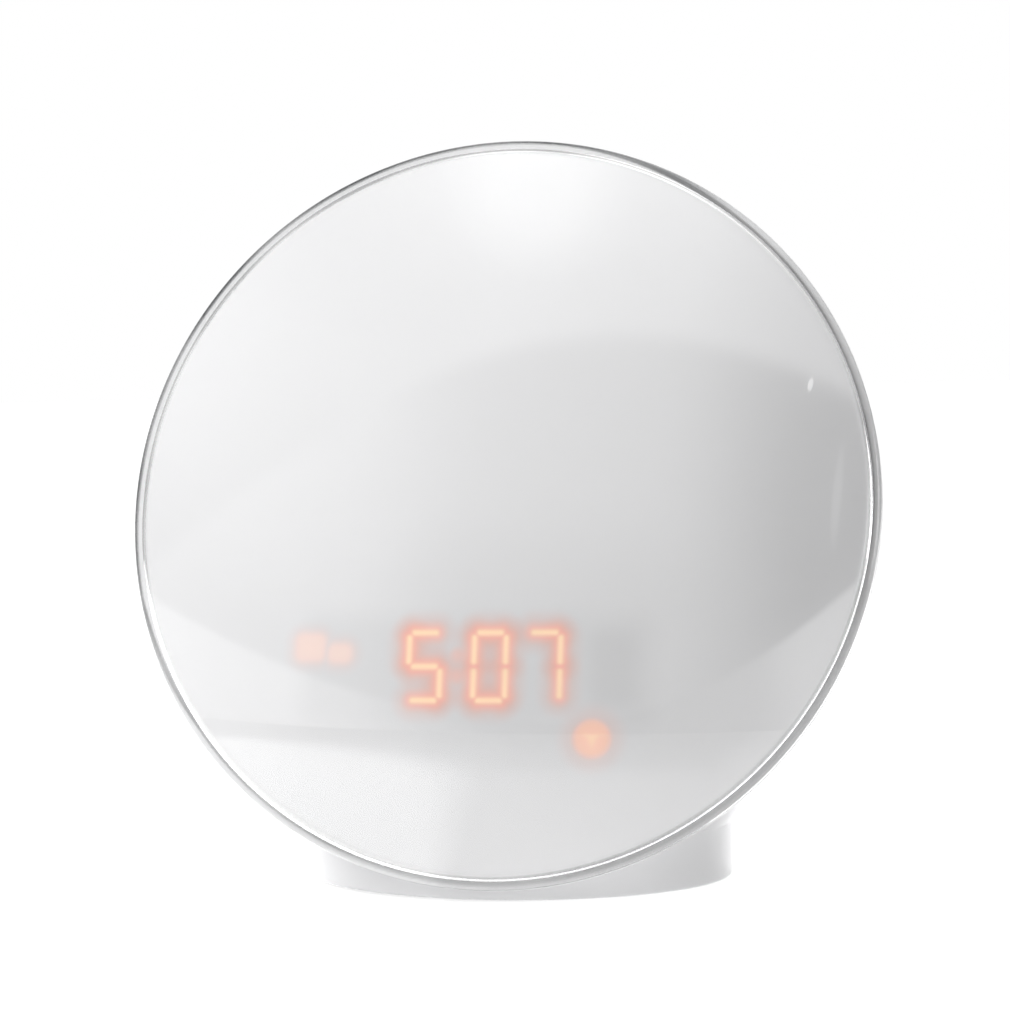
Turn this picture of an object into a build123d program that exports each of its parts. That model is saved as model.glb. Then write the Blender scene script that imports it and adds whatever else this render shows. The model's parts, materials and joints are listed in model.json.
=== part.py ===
"""Sunrise alarm clock: a round domed light face leaning back on a low oval foot.

The clock stands on the XY plane, faces -Y and has its origin under the middle of the head.
Everything in the round head is drawn square in its own frame, with local +Z out of the
face, and is then leaned back as one by HEAD.
"""
from build123d import *
import os
from math import ceil, cos, hypot, pi, radians, sin, sqrt, tan

# ---- driving sizes, in millimetres and degrees ----
FACE_DIAMETER = 168.0
FACE_BULGE = 14.0  # height of the domed cover above its rim
FACE_TILT = 15.5  # lean back from upright
RIM_TO_TABLE = 3.6
HEAD_DEPTH = 54.0  # from the rim plane to the rear wall
HEAD_TAPER = 16.0  # slope of the bowl's side
HEAD_CORNER = 14.0  # round between side and rear wall
FOOT_WIDTH = 96.6
FOOT_DEPTH = 66.0
FOOT_Y = -8.5  # middle of the foot, ahead of the head's middle
FOOT_STRAIGHT = 12.6  # upright part of the foot's side
NECK_FLARE = 6.5  # how far the neck spreads to each side above the foot
NECK_FLARE_HEIGHT = 12.0
NECK_BACK_START = 18.5  # height where the neck's back starts to lean forward
NECK_BACK_LEAN = 62.0  # its lean from upright
NECK_TOP = 36.0
NECK_ROUND = 4.0

# ---- walls and clearances ----
SHELL_WALL = 2.2
COVER_WALL = 2.2
RIM_WALL = 2.3
RIM_ROUND = 2.0
COVER_SKIRT = 2.6  # clear edge behind the rim plane
SEAM = 0.3
LIP_BAND = 1.4
DIFFUSER_WALL = 1.5
DIFFUSER_EDGE = 4.4
AIR = 0.3
PART_GAP = 0.25
SCREW_GAP = 0.05

# ---- light tray and its boards ----
TRAY_FLANGE = 1.8
TRAY_WALL = 1.8
TRAY_DEPTH = 18.0  # rim plane to the back of the tray
TRAY_SIDE_GAP = 3.8  # from the tray's floor to the case's wall
LEDGE_WIDTH = 2.2
LEDGE_THICKNESS = 1.5
BOARD = 1.6
LED_BOARD_GAP = 2.2  # from the lamp board to the tray's wall
LED_LENGTH = 3.5
LED_WIDTH = 2.8
LED_HEIGHT = 0.8
LED_EDGE = 8.0  # from the board's edge to the outer ring of lamps
LED_RING_SPACE = 18.0
LED_RING_COUNT = 3
LED_PITCH = 13.5
WINDOW_GAP = 1.0  # between the lamp board and the display
BOARD_BOSS = 5.4

# ---- time display ----
DISPLAY_WIDTH = 82.0
DISPLAY_HEIGHT = 22.6
DISPLAY_X = -5.0
DISPLAY_MARGIN = 4.0  # from the display's lower corner to the lamp board's edge
DISPLAY_AIR = 0.9  # between that corner and the diffuser
DISPLAY_THICKNESS = 8.4
COLON_X = -7.2
DIGIT_PITCH = 12.0
COLON_SPACE = 2.5  # added between the hours and the minutes
SEGMENT_SPREAD = 7.0  # between the left and right strokes of a digit
SEGMENT_RISE = 7.4  # between the middle and top strokes
STROKE = 1.3
STROKE_GAP = 0.5
TILE_DEPTH = 0.8
TILE_GAP = 0.03
COLON_DOT = 1.4
COLON_RISE = 2.5
ICON_SHARE = 0.39  # place of the icon in the room left of the digits
ICON_RISE = 4.0  # icon above the display's middle
ICON_WIDTH = 5.6
ICON_HEIGHT = 4.2
SMALL_ICON_SHARE = 0.818
SMALL_ICON_RISE = 3.2
SMALL_ICON_SIZE = 3.4
ICON_CORNER = 0.9
SHOWN = " 507"
DISPLAY_POST = 4.4

# ---- indicator lamp ----
INDICATOR_X = 22.9
INDICATOR_DROP = 15.5  # below the display's middle
INDICATOR_BORE = 6.4
SLEEVE_WALL = 0.7
LENS_THICKNESS = 1.0
LAMP_DIAMETER = 5.0
LAMP_HEIGHT = 6.4

# ---- keys on the rear wall ----
KEY_NAMES = ("light", "brightness_up", "brightness_down", "colour",
             "alarm", "time_set", "volume_up", "volume_down")
KEYS_PER_SIDE = 4
KEY_SIDE_SHARE = 0.518  # place of the key columns as a share of the face's radius
KEY_WIDTH = 11.0
KEY_HEIGHT = 8.0
KEY_CORNER = 2.6
KEY_PROUD = 1.2
KEY_GAP = 0.3
KEY_TRAVEL = 0.8
KEY_FLANGE = 1.0
KEY_FLANGE_THICKNESS = 1.2
KEY_STEM = 3.6
KEY_STEM_LENGTH = 1.4
KEY_REST_GAP = 0.1
PLUNGER_DIAMETER = 3.2
PLUNGER_LENGTH = 2.9
SWITCH_SIZE = 6.2
SWITCH_HEIGHT = 3.6
KEY_BOARD_WIDTH = 11.0
KEY_BOARD_GAP = 0.4  # from the key board to the case's screw boss
KEY_END_GAP = 2.6  # from the end key's flange to the board's screw boss

# ---- loudspeaker ----
SPEAKER_DIAMETER = 40.0
SPEAKER_RIM = 3.0
SPEAKER_EAR = 1.6  # ears' centres outside the flange
GASKET_THICKNESS = 1.0
SPEAKER_FLANGE = 1.4
BASKET_DEPTH = 7.0
BASKET_WALL = 1.0
MAGNET_DIAMETER = 24.0
MAGNET_THICKNESS = 6.5
CONE_DEPTH = 4.6
CONE_WALL = 0.6
CONE_GAP = 0.6
CONE_EDGE = 2.0  # flat band round the cone
DUST_CAP = 6.5
GRILLE_HOLE = 2.0
GRILLE_PITCH = 3.6
GRILLE_RINGS = 5
GRILLE_SINK = 0.6

# ---- control board ----
MAIN_BOARD_WIDTH = 88.0
MAIN_BOARD_HEIGHT = 54.0
MAIN_BOSS_HEIGHT = 6.4
CELL_DIAMETER = 20.0
CELL_THICKNESS = 3.2
CELL_HOLDER = 24.0
CELL_HOLDER_HEIGHT = 4.6
CELL_SIDE_MARGIN = 12.0
CELL_TOP_MARGIN = 2.0
CAPACITOR_DIAMETER = 8.0
CAPACITOR_LENGTH = 12.0
CAPACITOR_MARGIN = 17.0  # from the board's right end
CAPACITOR_Y = (18.0, 6.0, -6.0)
CHIP_SIZES = (12.0, 7.0, 6.0, 5.0)
CHIP_X = (3.0, 16.0, -28.0, 12.0)
CHIP_Y = (13.0, 18.0, -8.0, 2.0)
CHIP_HEIGHT = 1.4
CONNECTOR_WIDTH = 8.0
CONNECTOR_DEPTH = 5.0
CONNECTOR_HEIGHT = 5.5
CONNECTOR_MARGIN = 7.0  # from the board's lower edge
CONNECTOR_SPACE = 12.0
RIBBON_WIDTH = 16.0
RIBBON_THICKNESS = 0.3
RIBBON_GAP = 0.8
TOUCH_PAD_ANGLE = 34.0
TOUCH_PAD_LENGTH = 16.0
TOUCH_PAD_SETBACK = 4.0
TOUCH_PAD_THICKNESS = 0.3

# ---- foot: bottom cover, rubber feet, power inlet ----
FOOT_LIFT = 0.5  # rubber feet stand this far below the foot's edge
FOOT_EDGE_ROUND = 0.8
PLATE_RECESS = 0.4
PLATE_THICKNESS = 1.6
PAD_DIAMETER = 11.0
PAD_SINK = 0.6
PAD_SPACING = 0.66  # share of the foot's half axes
JACK_WIDTH = 9.0
JACK_HEIGHT = 10.0
JACK_LENGTH = 14.0
JACK_NOSE = 8.0
JACK_BORE = 5.7
JACK_PIN = 2.0
JACK_BORE_DEPTH = 9.5
JACK_SINK = 0.4  # nose behind the foot's outer wall
JACK_OVERHANG = 3.0  # body past the power board's edge
POWER_BOARD_WIDTH = 30.0
POWER_BOARD_DEPTH = 24.0
POWER_BOSS_HEIGHT = 2.0
POWER_CAPACITOR_DIAMETER = 8.0
POWER_CAPACITOR_LENGTH = 11.0

# ---- screws ----
SCREW_DIAMETER = 2.6
SCREW_HEAD = 4.8
SCREW_HEAD_HEIGHT = 1.6
DRIVE_WIDTH = 0.7
DRIVE_DEPTH = 0.8
SMALL_SCREW_DIAMETER = 1.8
SMALL_SCREW_HEAD = 3.4
SMALL_HEAD_HEIGHT = 1.2
CASE_SCREW_SHARE = 0.637  # place of the screws as a share of the face's radius
CASE_SCREW_ANGLES = (45, 135, 225, 315)
CASE_WELL_DEPTH = 17.0
CASE_SCREW_LENGTH = 13.0
CASE_BOSS = 8.4
FOOT_BOSS = 7.0
FOOT_BOSS_SINK = 0.3  # how far the boss sinks into the foot's wall
FOOT_BOSS_CAP = 1.3  # boss beyond the end of its bore
FOOT_BOSS_ANGLES = (50, 130, 230, 310)
FOOT_SCREW_LENGTH = 7.0
BOARD_SCREW_GRIP = 4.0  # shank length beyond the board
SPEAKER_SCREW_GRIP = 1.2  # shank length in the rear wall
SCREW_END_GAP = 0.5  # room beyond the end of a shank
DRIVE_SHARE = 0.6  # length of the cross slot as a share of the head

# ---- worked out from the above ----
FACE_RADIUS = FACE_DIAMETER / 2
TILT = radians(FACE_TILT)
TAPER = radians(HEAD_TAPER)
COVER_SPHERE = (FACE_RADIUS ** 2 + FACE_BULGE ** 2) / (2 * FACE_BULGE)
COVER_CENTRE = FACE_BULGE - COVER_SPHERE
RIM_BORE = FACE_RADIUS - RIM_WALL
LIP_FRONT = -COVER_SKIRT - SEAM
LIP_BACK = LIP_FRONT - LIP_BAND
CORNER_HEIGHT = HEAD_DEPTH - HEAD_CORNER
CORNER_RADIUS = FACE_RADIUS - HEAD_CORNER / cos(TAPER) - (LIP_BACK + CORNER_HEIGHT) * tan(TAPER)
FRONT_REACH = COVER_SPHERE + COVER_CENTRE * cos(TILT)
BACK_REACH = CORNER_RADIUS * sin(TILT) + CORNER_HEIGHT * cos(TILT) + HEAD_CORNER
FACE_Y = (FRONT_REACH - BACK_REACH) / 2  # the head reaches as far forward as back
FACE_Z = RIM_TO_TABLE + FACE_RADIUS * cos(TILT)
HEAD = Plane(origin=(0, FACE_Y, FACE_Z), x_dir=(1, 0, 0), z_dir=(0, -cos(TILT), sin(TILT)))
SCREW_BORE = SCREW_DIAMETER + 2 * SCREW_GAP
SMALL_SCREW_BORE = SMALL_SCREW_DIAMETER + 2 * SCREW_GAP
SCREW_WELL = SCREW_HEAD + 2 * PART_GAP
TRAY_WALL_RADIUS = FACE_RADIUS - SHELL_WALL / cos(TAPER) - (LIP_BACK + TRAY_DEPTH) * tan(TAPER)
TRAY_FLOOR_RADIUS = TRAY_WALL_RADIUS - TRAY_SIDE_GAP
LED_BOARD_RADIUS = TRAY_FLOOR_RADIUS - TRAY_WALL - LED_BOARD_GAP
DISPLAY_CORNER = LED_BOARD_RADIUS - DISPLAY_MARGIN
DISPLAY_Y = DISPLAY_HEIGHT / 2 - sqrt(DISPLAY_CORNER ** 2 - (abs(DISPLAY_X) + DISPLAY_WIDTH / 2) ** 2)
DIFFUSER_INSIDE = COVER_SPHERE - COVER_WALL - AIR - DIFFUSER_WALL
DISPLAY_FRONT = COVER_CENTRE + sqrt(DIFFUSER_INSIDE ** 2 - DISPLAY_CORNER ** 2) - DISPLAY_AIR
INDICATOR_Y = DISPLAY_Y - INDICATOR_DROP
CASE_SCREW_RADIUS = CASE_SCREW_SHARE * FACE_RADIUS
KEY_X = KEY_SIDE_SHARE * FACE_RADIUS
KEY_BOARD_LENGTH = 2 * (CASE_SCREW_RADIUS * sin(pi / 4) - CASE_BOSS / 2 - KEY_BOARD_GAP)
KEY_ROOM = KEY_BOARD_LENGTH - 2 * (BOARD_BOSS + KEY_FLANGE + KEY_END_GAP)
KEY_PITCH = (KEY_ROOM - KEY_HEIGHT) / (KEYS_PER_SIDE - 1)
TRAY_TOP = -DIFFUSER_EDGE
LEDGE_TOP = TRAY_TOP - TRAY_FLANGE
TRAY_FLOOR = -TRAY_DEPTH + TRAY_WALL
LED_TOP = TRAY_FLOOR + BOARD
MAIN_BOARD_FRONT = -TRAY_DEPTH - MAIN_BOSS_HEIGHT
MAIN_BOARD_BACK = MAIN_BOARD_FRONT - BOARD
SLEEVE_FRONT = DISPLAY_FRONT
DISPLAY_BACK = DISPLAY_FRONT - DISPLAY_THICKNESS
DISPLAY_BOARD_BACK = DISPLAY_BACK - BOARD
REAR_INSIDE = -HEAD_DEPTH + SHELL_WALL
KEY_FLANGE_BACK = REAR_INSIDE + KEY_REST_GAP
KEY_STEM_END = KEY_FLANGE_BACK + KEY_FLANGE_THICKNESS + KEY_STEM_LENGTH
SWITCH_BACK = KEY_STEM_END + KEY_TRAVEL + 2 * KEY_REST_GAP
KEY_BOARD_BACK = SWITCH_BACK + SWITCH_HEIGHT
SPEAKER_SEAT = REAR_INSIDE + GASKET_THICKNESS
SPEAKER_EAR_RADIUS = SPEAKER_DIAMETER / 2 + SPEAKER_EAR
SPEAKER_MOUTH = SPEAKER_DIAMETER / 2 - SPEAKER_RIM
FOOT_BACK = FOOT_Y + FOOT_DEPTH / 2
PLATE_BOTTOM = FOOT_LIFT + PLATE_RECESS
PLATE_TOP = PLATE_BOTTOM + PLATE_THICKNESS
PLATE_SCREW_HEAD = PLATE_THICKNESS / 2
PLATE_SCREW_SEAT = PLATE_BOTTOM + PLATE_SCREW_HEAD
FOOT_BORE_END = PLATE_SCREW_SEAT + FOOT_SCREW_LENGTH + SCREW_END_GAP
POWER_BOARD_BOTTOM = PLATE_TOP + POWER_BOSS_HEIGHT
POWER_BOARD_TOP = POWER_BOARD_BOTTOM + BOARD
JACK_FACE_Y = FOOT_BACK - JACK_SINK
JACK_BODY_Y = FOOT_BACK - SHELL_WALL - 2 * PART_GAP
JACK_Z = POWER_BOARD_TOP + JACK_HEIGHT / 2


def post(diameter, low, high, x=0.0, y=0.0):
    """Upright round post between two heights."""
    rod = Cylinder(diameter / 2, high - low, align=(Align.CENTER, Align.CENTER, Align.MIN))
    return Pos(x, y, low) * rod


def tube(outer, inner, low, high, x=0.0, y=0.0):
    """Upright round tube, given by its two diameters."""
    return post(outer, low, high, x, y) - post(inner, low, high, x, y)


def block(width, depth, low, high, x=0.0, y=0.0):
    """Square-cornered block between two heights."""
    box = Box(width, depth, high - low, align=(Align.CENTER, Align.CENTER, Align.MIN))
    return Pos(x, y, low) * box


def pad_block(width, depth, corner, low, high, x=0.0, y=0.0):
    """Block with rounded upright corners."""
    outline = RectangleRounded(width, depth, corner)
    return Pos(x, y, low) * extrude(outline, high - low)


def turned(outline):
    """Solid of revolution about local Z from an outline drawn as radius across, height up."""
    return revolve(Plane.XZ * outline, Axis.Z)


def polygon(*points):
    """Closed outline through the points, in drawing order."""
    return make_face(Polyline(*points, close=True))


def around(count, radius, start=0.0):
    """Evenly spaced places on a circle."""
    return [(radius * cos(radians(start) + 2 * pi * k / count),
             radius * sin(radians(start) + 2 * pi * k / count)) for k in range(count)]


def at_angles(angles, radius_x, radius_y, middle_y=0.0):
    """Places on an oval at the given angles."""
    return [(radius_x * cos(radians(a)), middle_y + radius_y * sin(radians(a))) for a in angles]


def group(solids):
    """Several like pieces that share one node."""
    return Compound(children=[s.solid() if len(s.solids()) == 1 else s for s in solids])


def screw(diameter, head, head_height, length):
    """Cross-slotted screw with its head's underside at the origin and its shank upwards."""
    body = post(head, -head_height, 0) + post(diameter, 0, length)
    slot = block(head * DRIVE_SHARE, DRIVE_WIDTH, -head_height, -head_height + DRIVE_DEPTH)
    return body - (slot + Rot(0, 0, 90) * slot)


def screws_at(places, seat, fastener):
    """Like screws whose shanks run upwards from their seat."""
    return group([Pos(x, y, seat) * fastener for x, y in places])


def small_screws(places, seat, grip, turn=Rot(180, 0, 0)):
    """Small screws through one layer and into grip more, running downwards unless turned."""
    fastener = turn * screw(SMALL_SCREW_DIAMETER, SMALL_SCREW_HEAD, SMALL_HEAD_HEIGHT, grip)
    return screws_at(places, seat, fastener)


def bowl_radius(height, inset):
    """Radius of the bowl's tapered side at a height, drawn inwards by inset."""
    return FACE_RADIUS - inset / cos(TAPER) - (LIP_BACK - height) * tan(TAPER)


def dome_disc(inset):
    """Outline of the domed face, drawn inwards by inset from the cover's outer skin."""
    return Pos(0, COVER_CENTRE) * Circle(COVER_SPHERE - inset)


def column(radius_in, radius_out, low, high):
    """Upright strip of an outline between two radii and two heights."""
    return Pos(radius_in, low) * Rectangle(radius_out - radius_in, high - low,
                                           align=(Align.MIN, Align.MIN))


# ---- light face ----
def front_cover():
    """Clear domed cover with a thick rounded rim."""
    outer = dome_disc(0) & column(0, FACE_RADIUS, -COVER_SKIRT, FACE_BULGE)
    inner = dome_disc(COVER_WALL) & column(0, RIM_BORE, -COVER_SKIRT, FACE_BULGE)
    outline = outer - inner
    rim = outline.vertices().sort_by_distance((FACE_RADIUS, 0, 0))[0]
    return turned(fillet(rim, RIM_ROUND))


def diffuser():
    """Milky dome under the cover, with an edge band that stands on the tray's flange."""
    skin = COVER_WALL + AIR
    edge = RIM_BORE - AIR
    outer = dome_disc(skin) & column(0, edge, -DIFFUSER_EDGE, FACE_BULGE)
    inside = column(0, edge - DIFFUSER_WALL, -DIFFUSER_EDGE, FACE_BULGE)
    return turned(outer - (dome_disc(skin + DIFFUSER_WALL) & inside))


def light_tray():
    """White reflector bowl that carries the boards, with bosses on both sides."""
    flange_edge = bowl_radius(LEDGE_TOP, SHELL_WALL) - AIR
    wall_top = flange_edge - LEDGE_WIDTH - PART_GAP
    outline = polygon((0, -TRAY_DEPTH), (TRAY_FLOOR_RADIUS, -TRAY_DEPTH), (wall_top, LEDGE_TOP),
                      (flange_edge, LEDGE_TOP), (flange_edge, TRAY_TOP),
                      (wall_top - TRAY_WALL, TRAY_TOP),
                      (TRAY_FLOOR_RADIUS - TRAY_WALL, TRAY_FLOOR), (0, TRAY_FLOOR))
    tray = turned(outline)
    for x, y in display_corners():
        tray += post(DISPLAY_POST, TRAY_FLOOR, DISPLAY_BOARD_BACK, x, y)
    bore_end = MAIN_BOARD_FRONT + BOARD_SCREW_GRIP + SCREW_END_GAP
    for x, y in main_board_corners():
        tray += post(BOARD_BOSS, MAIN_BOARD_FRONT, -TRAY_DEPTH, x, y)
        tray -= post(SMALL_SCREW_BORE, MAIN_BOARD_FRONT, bore_end, x, y)
    for x, y in case_screw_places():
        tray += post(CASE_BOSS, case_seam(), -TRAY_DEPTH, x, y)
        tray -= post(SCREW_BORE, case_seam(), -TRAY_DEPTH, x, y)
    slot = block(RIBBON_WIDTH + 2 * RIBBON_GAP, RIBBON_THICKNESS + 2 * RIBBON_GAP,
                 -TRAY_DEPTH, TRAY_FLOOR, DISPLAY_X, DISPLAY_Y)
    return tray - slot


# ---- boards in the tray ----
def led_board():
    """Round lamp board with a window for the display."""
    board = post(2 * LED_BOARD_RADIUS, TRAY_FLOOR, LED_TOP)
    return board - block(DISPLAY_WIDTH + 2 * WINDOW_GAP, DISPLAY_HEIGHT + 2 * WINDOW_GAP,
                         TRAY_FLOOR, LED_TOP, DISPLAY_X, DISPLAY_Y)


def led_places():
    """Places of the lamps in rings, left out under the display and the indicator."""
    reach_x = DISPLAY_WIDTH / 2 + LED_LENGTH
    reach_y = DISPLAY_HEIGHT / 2 + LED_LENGTH
    keep = INDICATOR_BORE / 2 + SLEEVE_WALL + LED_LENGTH
    places = []
    for ring in range(LED_RING_COUNT):
        radius = LED_BOARD_RADIUS - LED_EDGE - ring * LED_RING_SPACE
        for x, y in around(ceil(2 * pi * radius / LED_PITCH), radius, 90):
            over_display = abs(x - DISPLAY_X) < reach_x and abs(y - DISPLAY_Y) < reach_y
            over_indicator = hypot(x - INDICATOR_X, y - INDICATOR_Y) < keep
            if not over_display and not over_indicator:
                places.append((x, y))
    return places


def led_chips():
    """Flat white lamp chips."""
    top = LED_TOP + LED_HEIGHT
    return group([block(LED_LENGTH, LED_WIDTH, LED_TOP, top, x, y) for x, y in led_places()])


def display_corners():
    """Places of the four posts under the display board."""
    dx = DISPLAY_WIDTH / 2 - DISPLAY_POST
    dy = DISPLAY_HEIGHT / 2 - DISPLAY_POST / 2
    return [(DISPLAY_X + sx * dx, DISPLAY_Y + sy * dy) for sx in (-1, 1) for sy in (-1, 1)]


def display_board():
    """Circuit board behind the display module."""
    return block(DISPLAY_WIDTH, DISPLAY_HEIGHT, DISPLAY_BOARD_BACK, DISPLAY_BACK,
                 DISPLAY_X, DISPLAY_Y)


def digit_centres():
    """Centres of the four digits, hours left of the colon and minutes right of it."""
    near = (DIGIT_PITCH + COLON_SPACE) / 2
    return [COLON_X - near - DIGIT_PITCH, COLON_X - near, COLON_X + near,
            COLON_X + near + DIGIT_PITCH]


def stroke_outline(length, upright):
    """Outline of one stroke: a bar with pointed ends."""
    half = length / 2
    tip = STROKE / 2
    bar = polygon((-half, 0), (-half + tip, tip), (half - tip, tip), (half, 0),
                  (half - tip, -tip), (-half + tip, -tip))
    return Rot(0, 0, 90) * bar if upright else bar


def digit_strokes(centre_x):
    """The seven strokes of one digit, by the usual letters a to g."""
    side = SEGMENT_SPREAD / 2
    across = SEGMENT_SPREAD - 2 * STROKE_GAP
    upright = SEGMENT_RISE - 2 * STROKE_GAP
    places = {"a": (0, SEGMENT_RISE), "g": (0, 0), "d": (0, -SEGMENT_RISE),
              "b": (side, SEGMENT_RISE / 2), "c": (side, -SEGMENT_RISE / 2),
              "e": (-side, -SEGMENT_RISE / 2), "f": (-side, SEGMENT_RISE / 2)}
    strokes = {}
    for letter, (dx, dy) in places.items():
        bar = stroke_outline(across if letter in "agd" else upright, letter not in "agd")
        strokes[letter] = Pos(centre_x + dx, DISPLAY_Y + dy) * bar
    return strokes


def lit_letters(figure):
    """Strokes that light for a figure."""
    letters = {" ": "", "0": "abcdef", "1": "bc", "2": "abdeg", "3": "abcdg", "4": "bcfg",
               "5": "acdfg", "6": "acdefg", "7": "abc", "8": "abcdefg", "9": "abcdfg"}
    return letters[figure]


def tile_outlines(lit):
    """Outlines of the display's glowing or dark tiles."""
    outlines = []
    for centre, figure in zip(digit_centres(), SHOWN):
        for letter, outline in digit_strokes(centre).items():
            if (letter in lit_letters(figure)) == lit:
                outlines.append(outline)
    if lit:
        for rise in (-COLON_RISE, COLON_RISE):
            outlines.append(Pos(COLON_X, DISPLAY_Y + rise) * Circle(COLON_DOT / 2))
        icon = RectangleRounded(ICON_WIDTH, ICON_HEIGHT, ICON_CORNER)
        small_icon = RectangleRounded(SMALL_ICON_SIZE, SMALL_ICON_SIZE, ICON_CORNER)
        left = DISPLAY_X - DISPLAY_WIDTH / 2
        room = digit_centres()[0] - (SEGMENT_SPREAD + STROKE) / 2 - left
        outlines.append(Pos(left + ICON_SHARE * room, DISPLAY_Y + ICON_RISE) * icon)
        small_x = left + SMALL_ICON_SHARE * room
        outlines.append(Pos(small_x, DISPLAY_Y + SMALL_ICON_RISE) * small_icon)
    return outlines


def display_tiles(lit):
    """Translucent tiles let into the display's face."""
    low = DISPLAY_FRONT - TILE_DEPTH
    return group([Pos(0, 0, low) * extrude(o, TILE_DEPTH) for o in tile_outlines(lit)])


def display_module():
    """Display housing with a pocket for each tile."""
    module = block(DISPLAY_WIDTH, DISPLAY_HEIGHT, DISPLAY_BACK, DISPLAY_FRONT, DISPLAY_X, DISPLAY_Y)
    low = DISPLAY_FRONT - TILE_DEPTH
    pockets = []
    for outline in tile_outlines(True) + tile_outlines(False):
        pockets.append(Pos(0, 0, low) * extrude(offset(outline, TILE_GAP), TILE_DEPTH))
    return module - pockets


def display_ribbon():
    """Flat cable from the display board through the tray to the control board."""
    return block(RIBBON_WIDTH, RIBBON_THICKNESS, MAIN_BOARD_FRONT, DISPLAY_BOARD_BACK,
                 DISPLAY_X, DISPLAY_Y)


def indicator_sleeve():
    """Light-tight tube between the lamp board and the diffuser."""
    outer = INDICATOR_BORE + 2 * SLEEVE_WALL
    return tube(outer, INDICATOR_BORE, LED_TOP, SLEEVE_FRONT, INDICATOR_X, INDICATOR_Y)


def indicator_lamp():
    """Round-nosed lamp standing in the sleeve."""
    shank = LAMP_HEIGHT - LAMP_DIAMETER / 2
    lamp = post(LAMP_DIAMETER, LED_TOP, LED_TOP + shank, INDICATOR_X, INDICATOR_Y)
    nose = Pos(INDICATOR_X, INDICATOR_Y, LED_TOP + shank) * Sphere(LAMP_DIAMETER / 2)
    return lamp + nose


def indicator_lens():
    """Translucent disc that closes the sleeve's front."""
    diameter = INDICATOR_BORE - 2 * TILE_GAP
    return post(diameter, SLEEVE_FRONT - LENS_THICKNESS, SLEEVE_FRONT, INDICATOR_X, INDICATOR_Y)


# ---- control board and what it carries ----
def main_board_corners():
    """Places of the control board's four screws."""
    dx = MAIN_BOARD_WIDTH / 2 - BOARD_BOSS / 2
    dy = MAIN_BOARD_HEIGHT / 2 - BOARD_BOSS / 2
    return [(sx * dx, sy * dy) for sx in (-1, 1) for sy in (-1, 1)]


def main_board():
    """Control board on the tray's rear bosses."""
    board = block(MAIN_BOARD_WIDTH, MAIN_BOARD_HEIGHT, MAIN_BOARD_BACK, MAIN_BOARD_FRONT)
    for x, y in main_board_corners():
        board -= post(SMALL_SCREW_BORE, MAIN_BOARD_BACK, MAIN_BOARD_FRONT, x, y)
    return board


def on_main_board(width, depth, height, x, y):
    """Component block standing off the control board towards the rear."""
    return block(width, depth, MAIN_BOARD_BACK - height, MAIN_BOARD_BACK, x, y)


def main_chips():
    """Controller, clock, driver and amplifier chips."""
    chips = []
    for size, x, y in zip(CHIP_SIZES, CHIP_X, CHIP_Y):
        chips.append(on_main_board(size, size, CHIP_HEIGHT, x, y))
    return group(chips)


def cell_place():
    """Centre of the memory cell, near the control board's upper left."""
    x = -MAIN_BOARD_WIDTH / 2 + CELL_HOLDER / 2 + CELL_SIDE_MARGIN
    return (x, MAIN_BOARD_HEIGHT / 2 - CELL_HOLDER / 2 - CELL_TOP_MARGIN)


def cell_holder():
    """Square holder with a round well for the memory cell."""
    x, y = cell_place()
    low = MAIN_BOARD_BACK - CELL_HOLDER_HEIGHT
    holder = block(CELL_HOLDER, CELL_HOLDER, low, MAIN_BOARD_BACK, x, y)
    return holder - post(CELL_DIAMETER + 2 * PART_GAP, low, low + CELL_THICKNESS, x, y)


def coin_cell():
    """Memory cell lying in its holder."""
    x, y = cell_place()
    low = MAIN_BOARD_BACK - CELL_HOLDER_HEIGHT
    return post(CELL_DIAMETER, low, low + CELL_THICKNESS, x, y)


def capacitors():
    """Upright cans on the control board."""
    low = MAIN_BOARD_BACK - CAPACITOR_LENGTH
    x = MAIN_BOARD_WIDTH / 2 - CAPACITOR_MARGIN
    return group([post(CAPACITOR_DIAMETER, low, MAIN_BOARD_BACK, x, y) for y in CAPACITOR_Y])


def wire_connectors():
    """Plug sockets for the speaker, key and power leads."""
    y = CONNECTOR_MARGIN - MAIN_BOARD_HEIGHT / 2
    places = [(step * CONNECTOR_SPACE, y) for step in (-1, 0, 1)]
    return group([on_main_board(CONNECTOR_WIDTH, CONNECTOR_DEPTH, CONNECTOR_HEIGHT, *place)
                  for place in places])


def main_board_screws():
    """Screws that hold the control board to the tray."""
    return small_screws(main_board_corners(), MAIN_BOARD_BACK, BOARD + BOARD_SCREW_GRIP, Rot(0, 0, 0))


# ---- keys ----
def key_places():
    """Places of the eight keys, four down each side of the rear wall."""
    places = []
    for side in (-1, 1):
        for row in range(KEYS_PER_SIDE):
            places.append((side * KEY_X, ((KEYS_PER_SIDE - 1) / 2 - row) * KEY_PITCH))
    return places


def key(x, y):
    """Key cap with the flange that keeps it in the case and a stem to its switch."""
    cap = pad_block(KEY_WIDTH, KEY_HEIGHT, KEY_CORNER, -HEAD_DEPTH - KEY_PROUD, KEY_FLANGE_BACK)
    cap = fillet(cap.faces().sort_by(Axis.Z)[0].edges(), KEY_PROUD / 2)
    flange = pad_block(KEY_WIDTH + 2 * KEY_FLANGE, KEY_HEIGHT + 2 * KEY_FLANGE, KEY_CORNER,
                       KEY_FLANGE_BACK, KEY_FLANGE_BACK + KEY_FLANGE_THICKNESS)
    stem = post(KEY_STEM, KEY_FLANGE_BACK, KEY_STEM_END)
    return Pos(x, y, 0) * (cap + flange + stem)


def key_plunger(x, y):
    """Round plunger that the key's stem pushes into the switch."""
    return post(PLUNGER_DIAMETER, KEY_STEM_END, KEY_STEM_END + PLUNGER_LENGTH, x, y)


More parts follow.
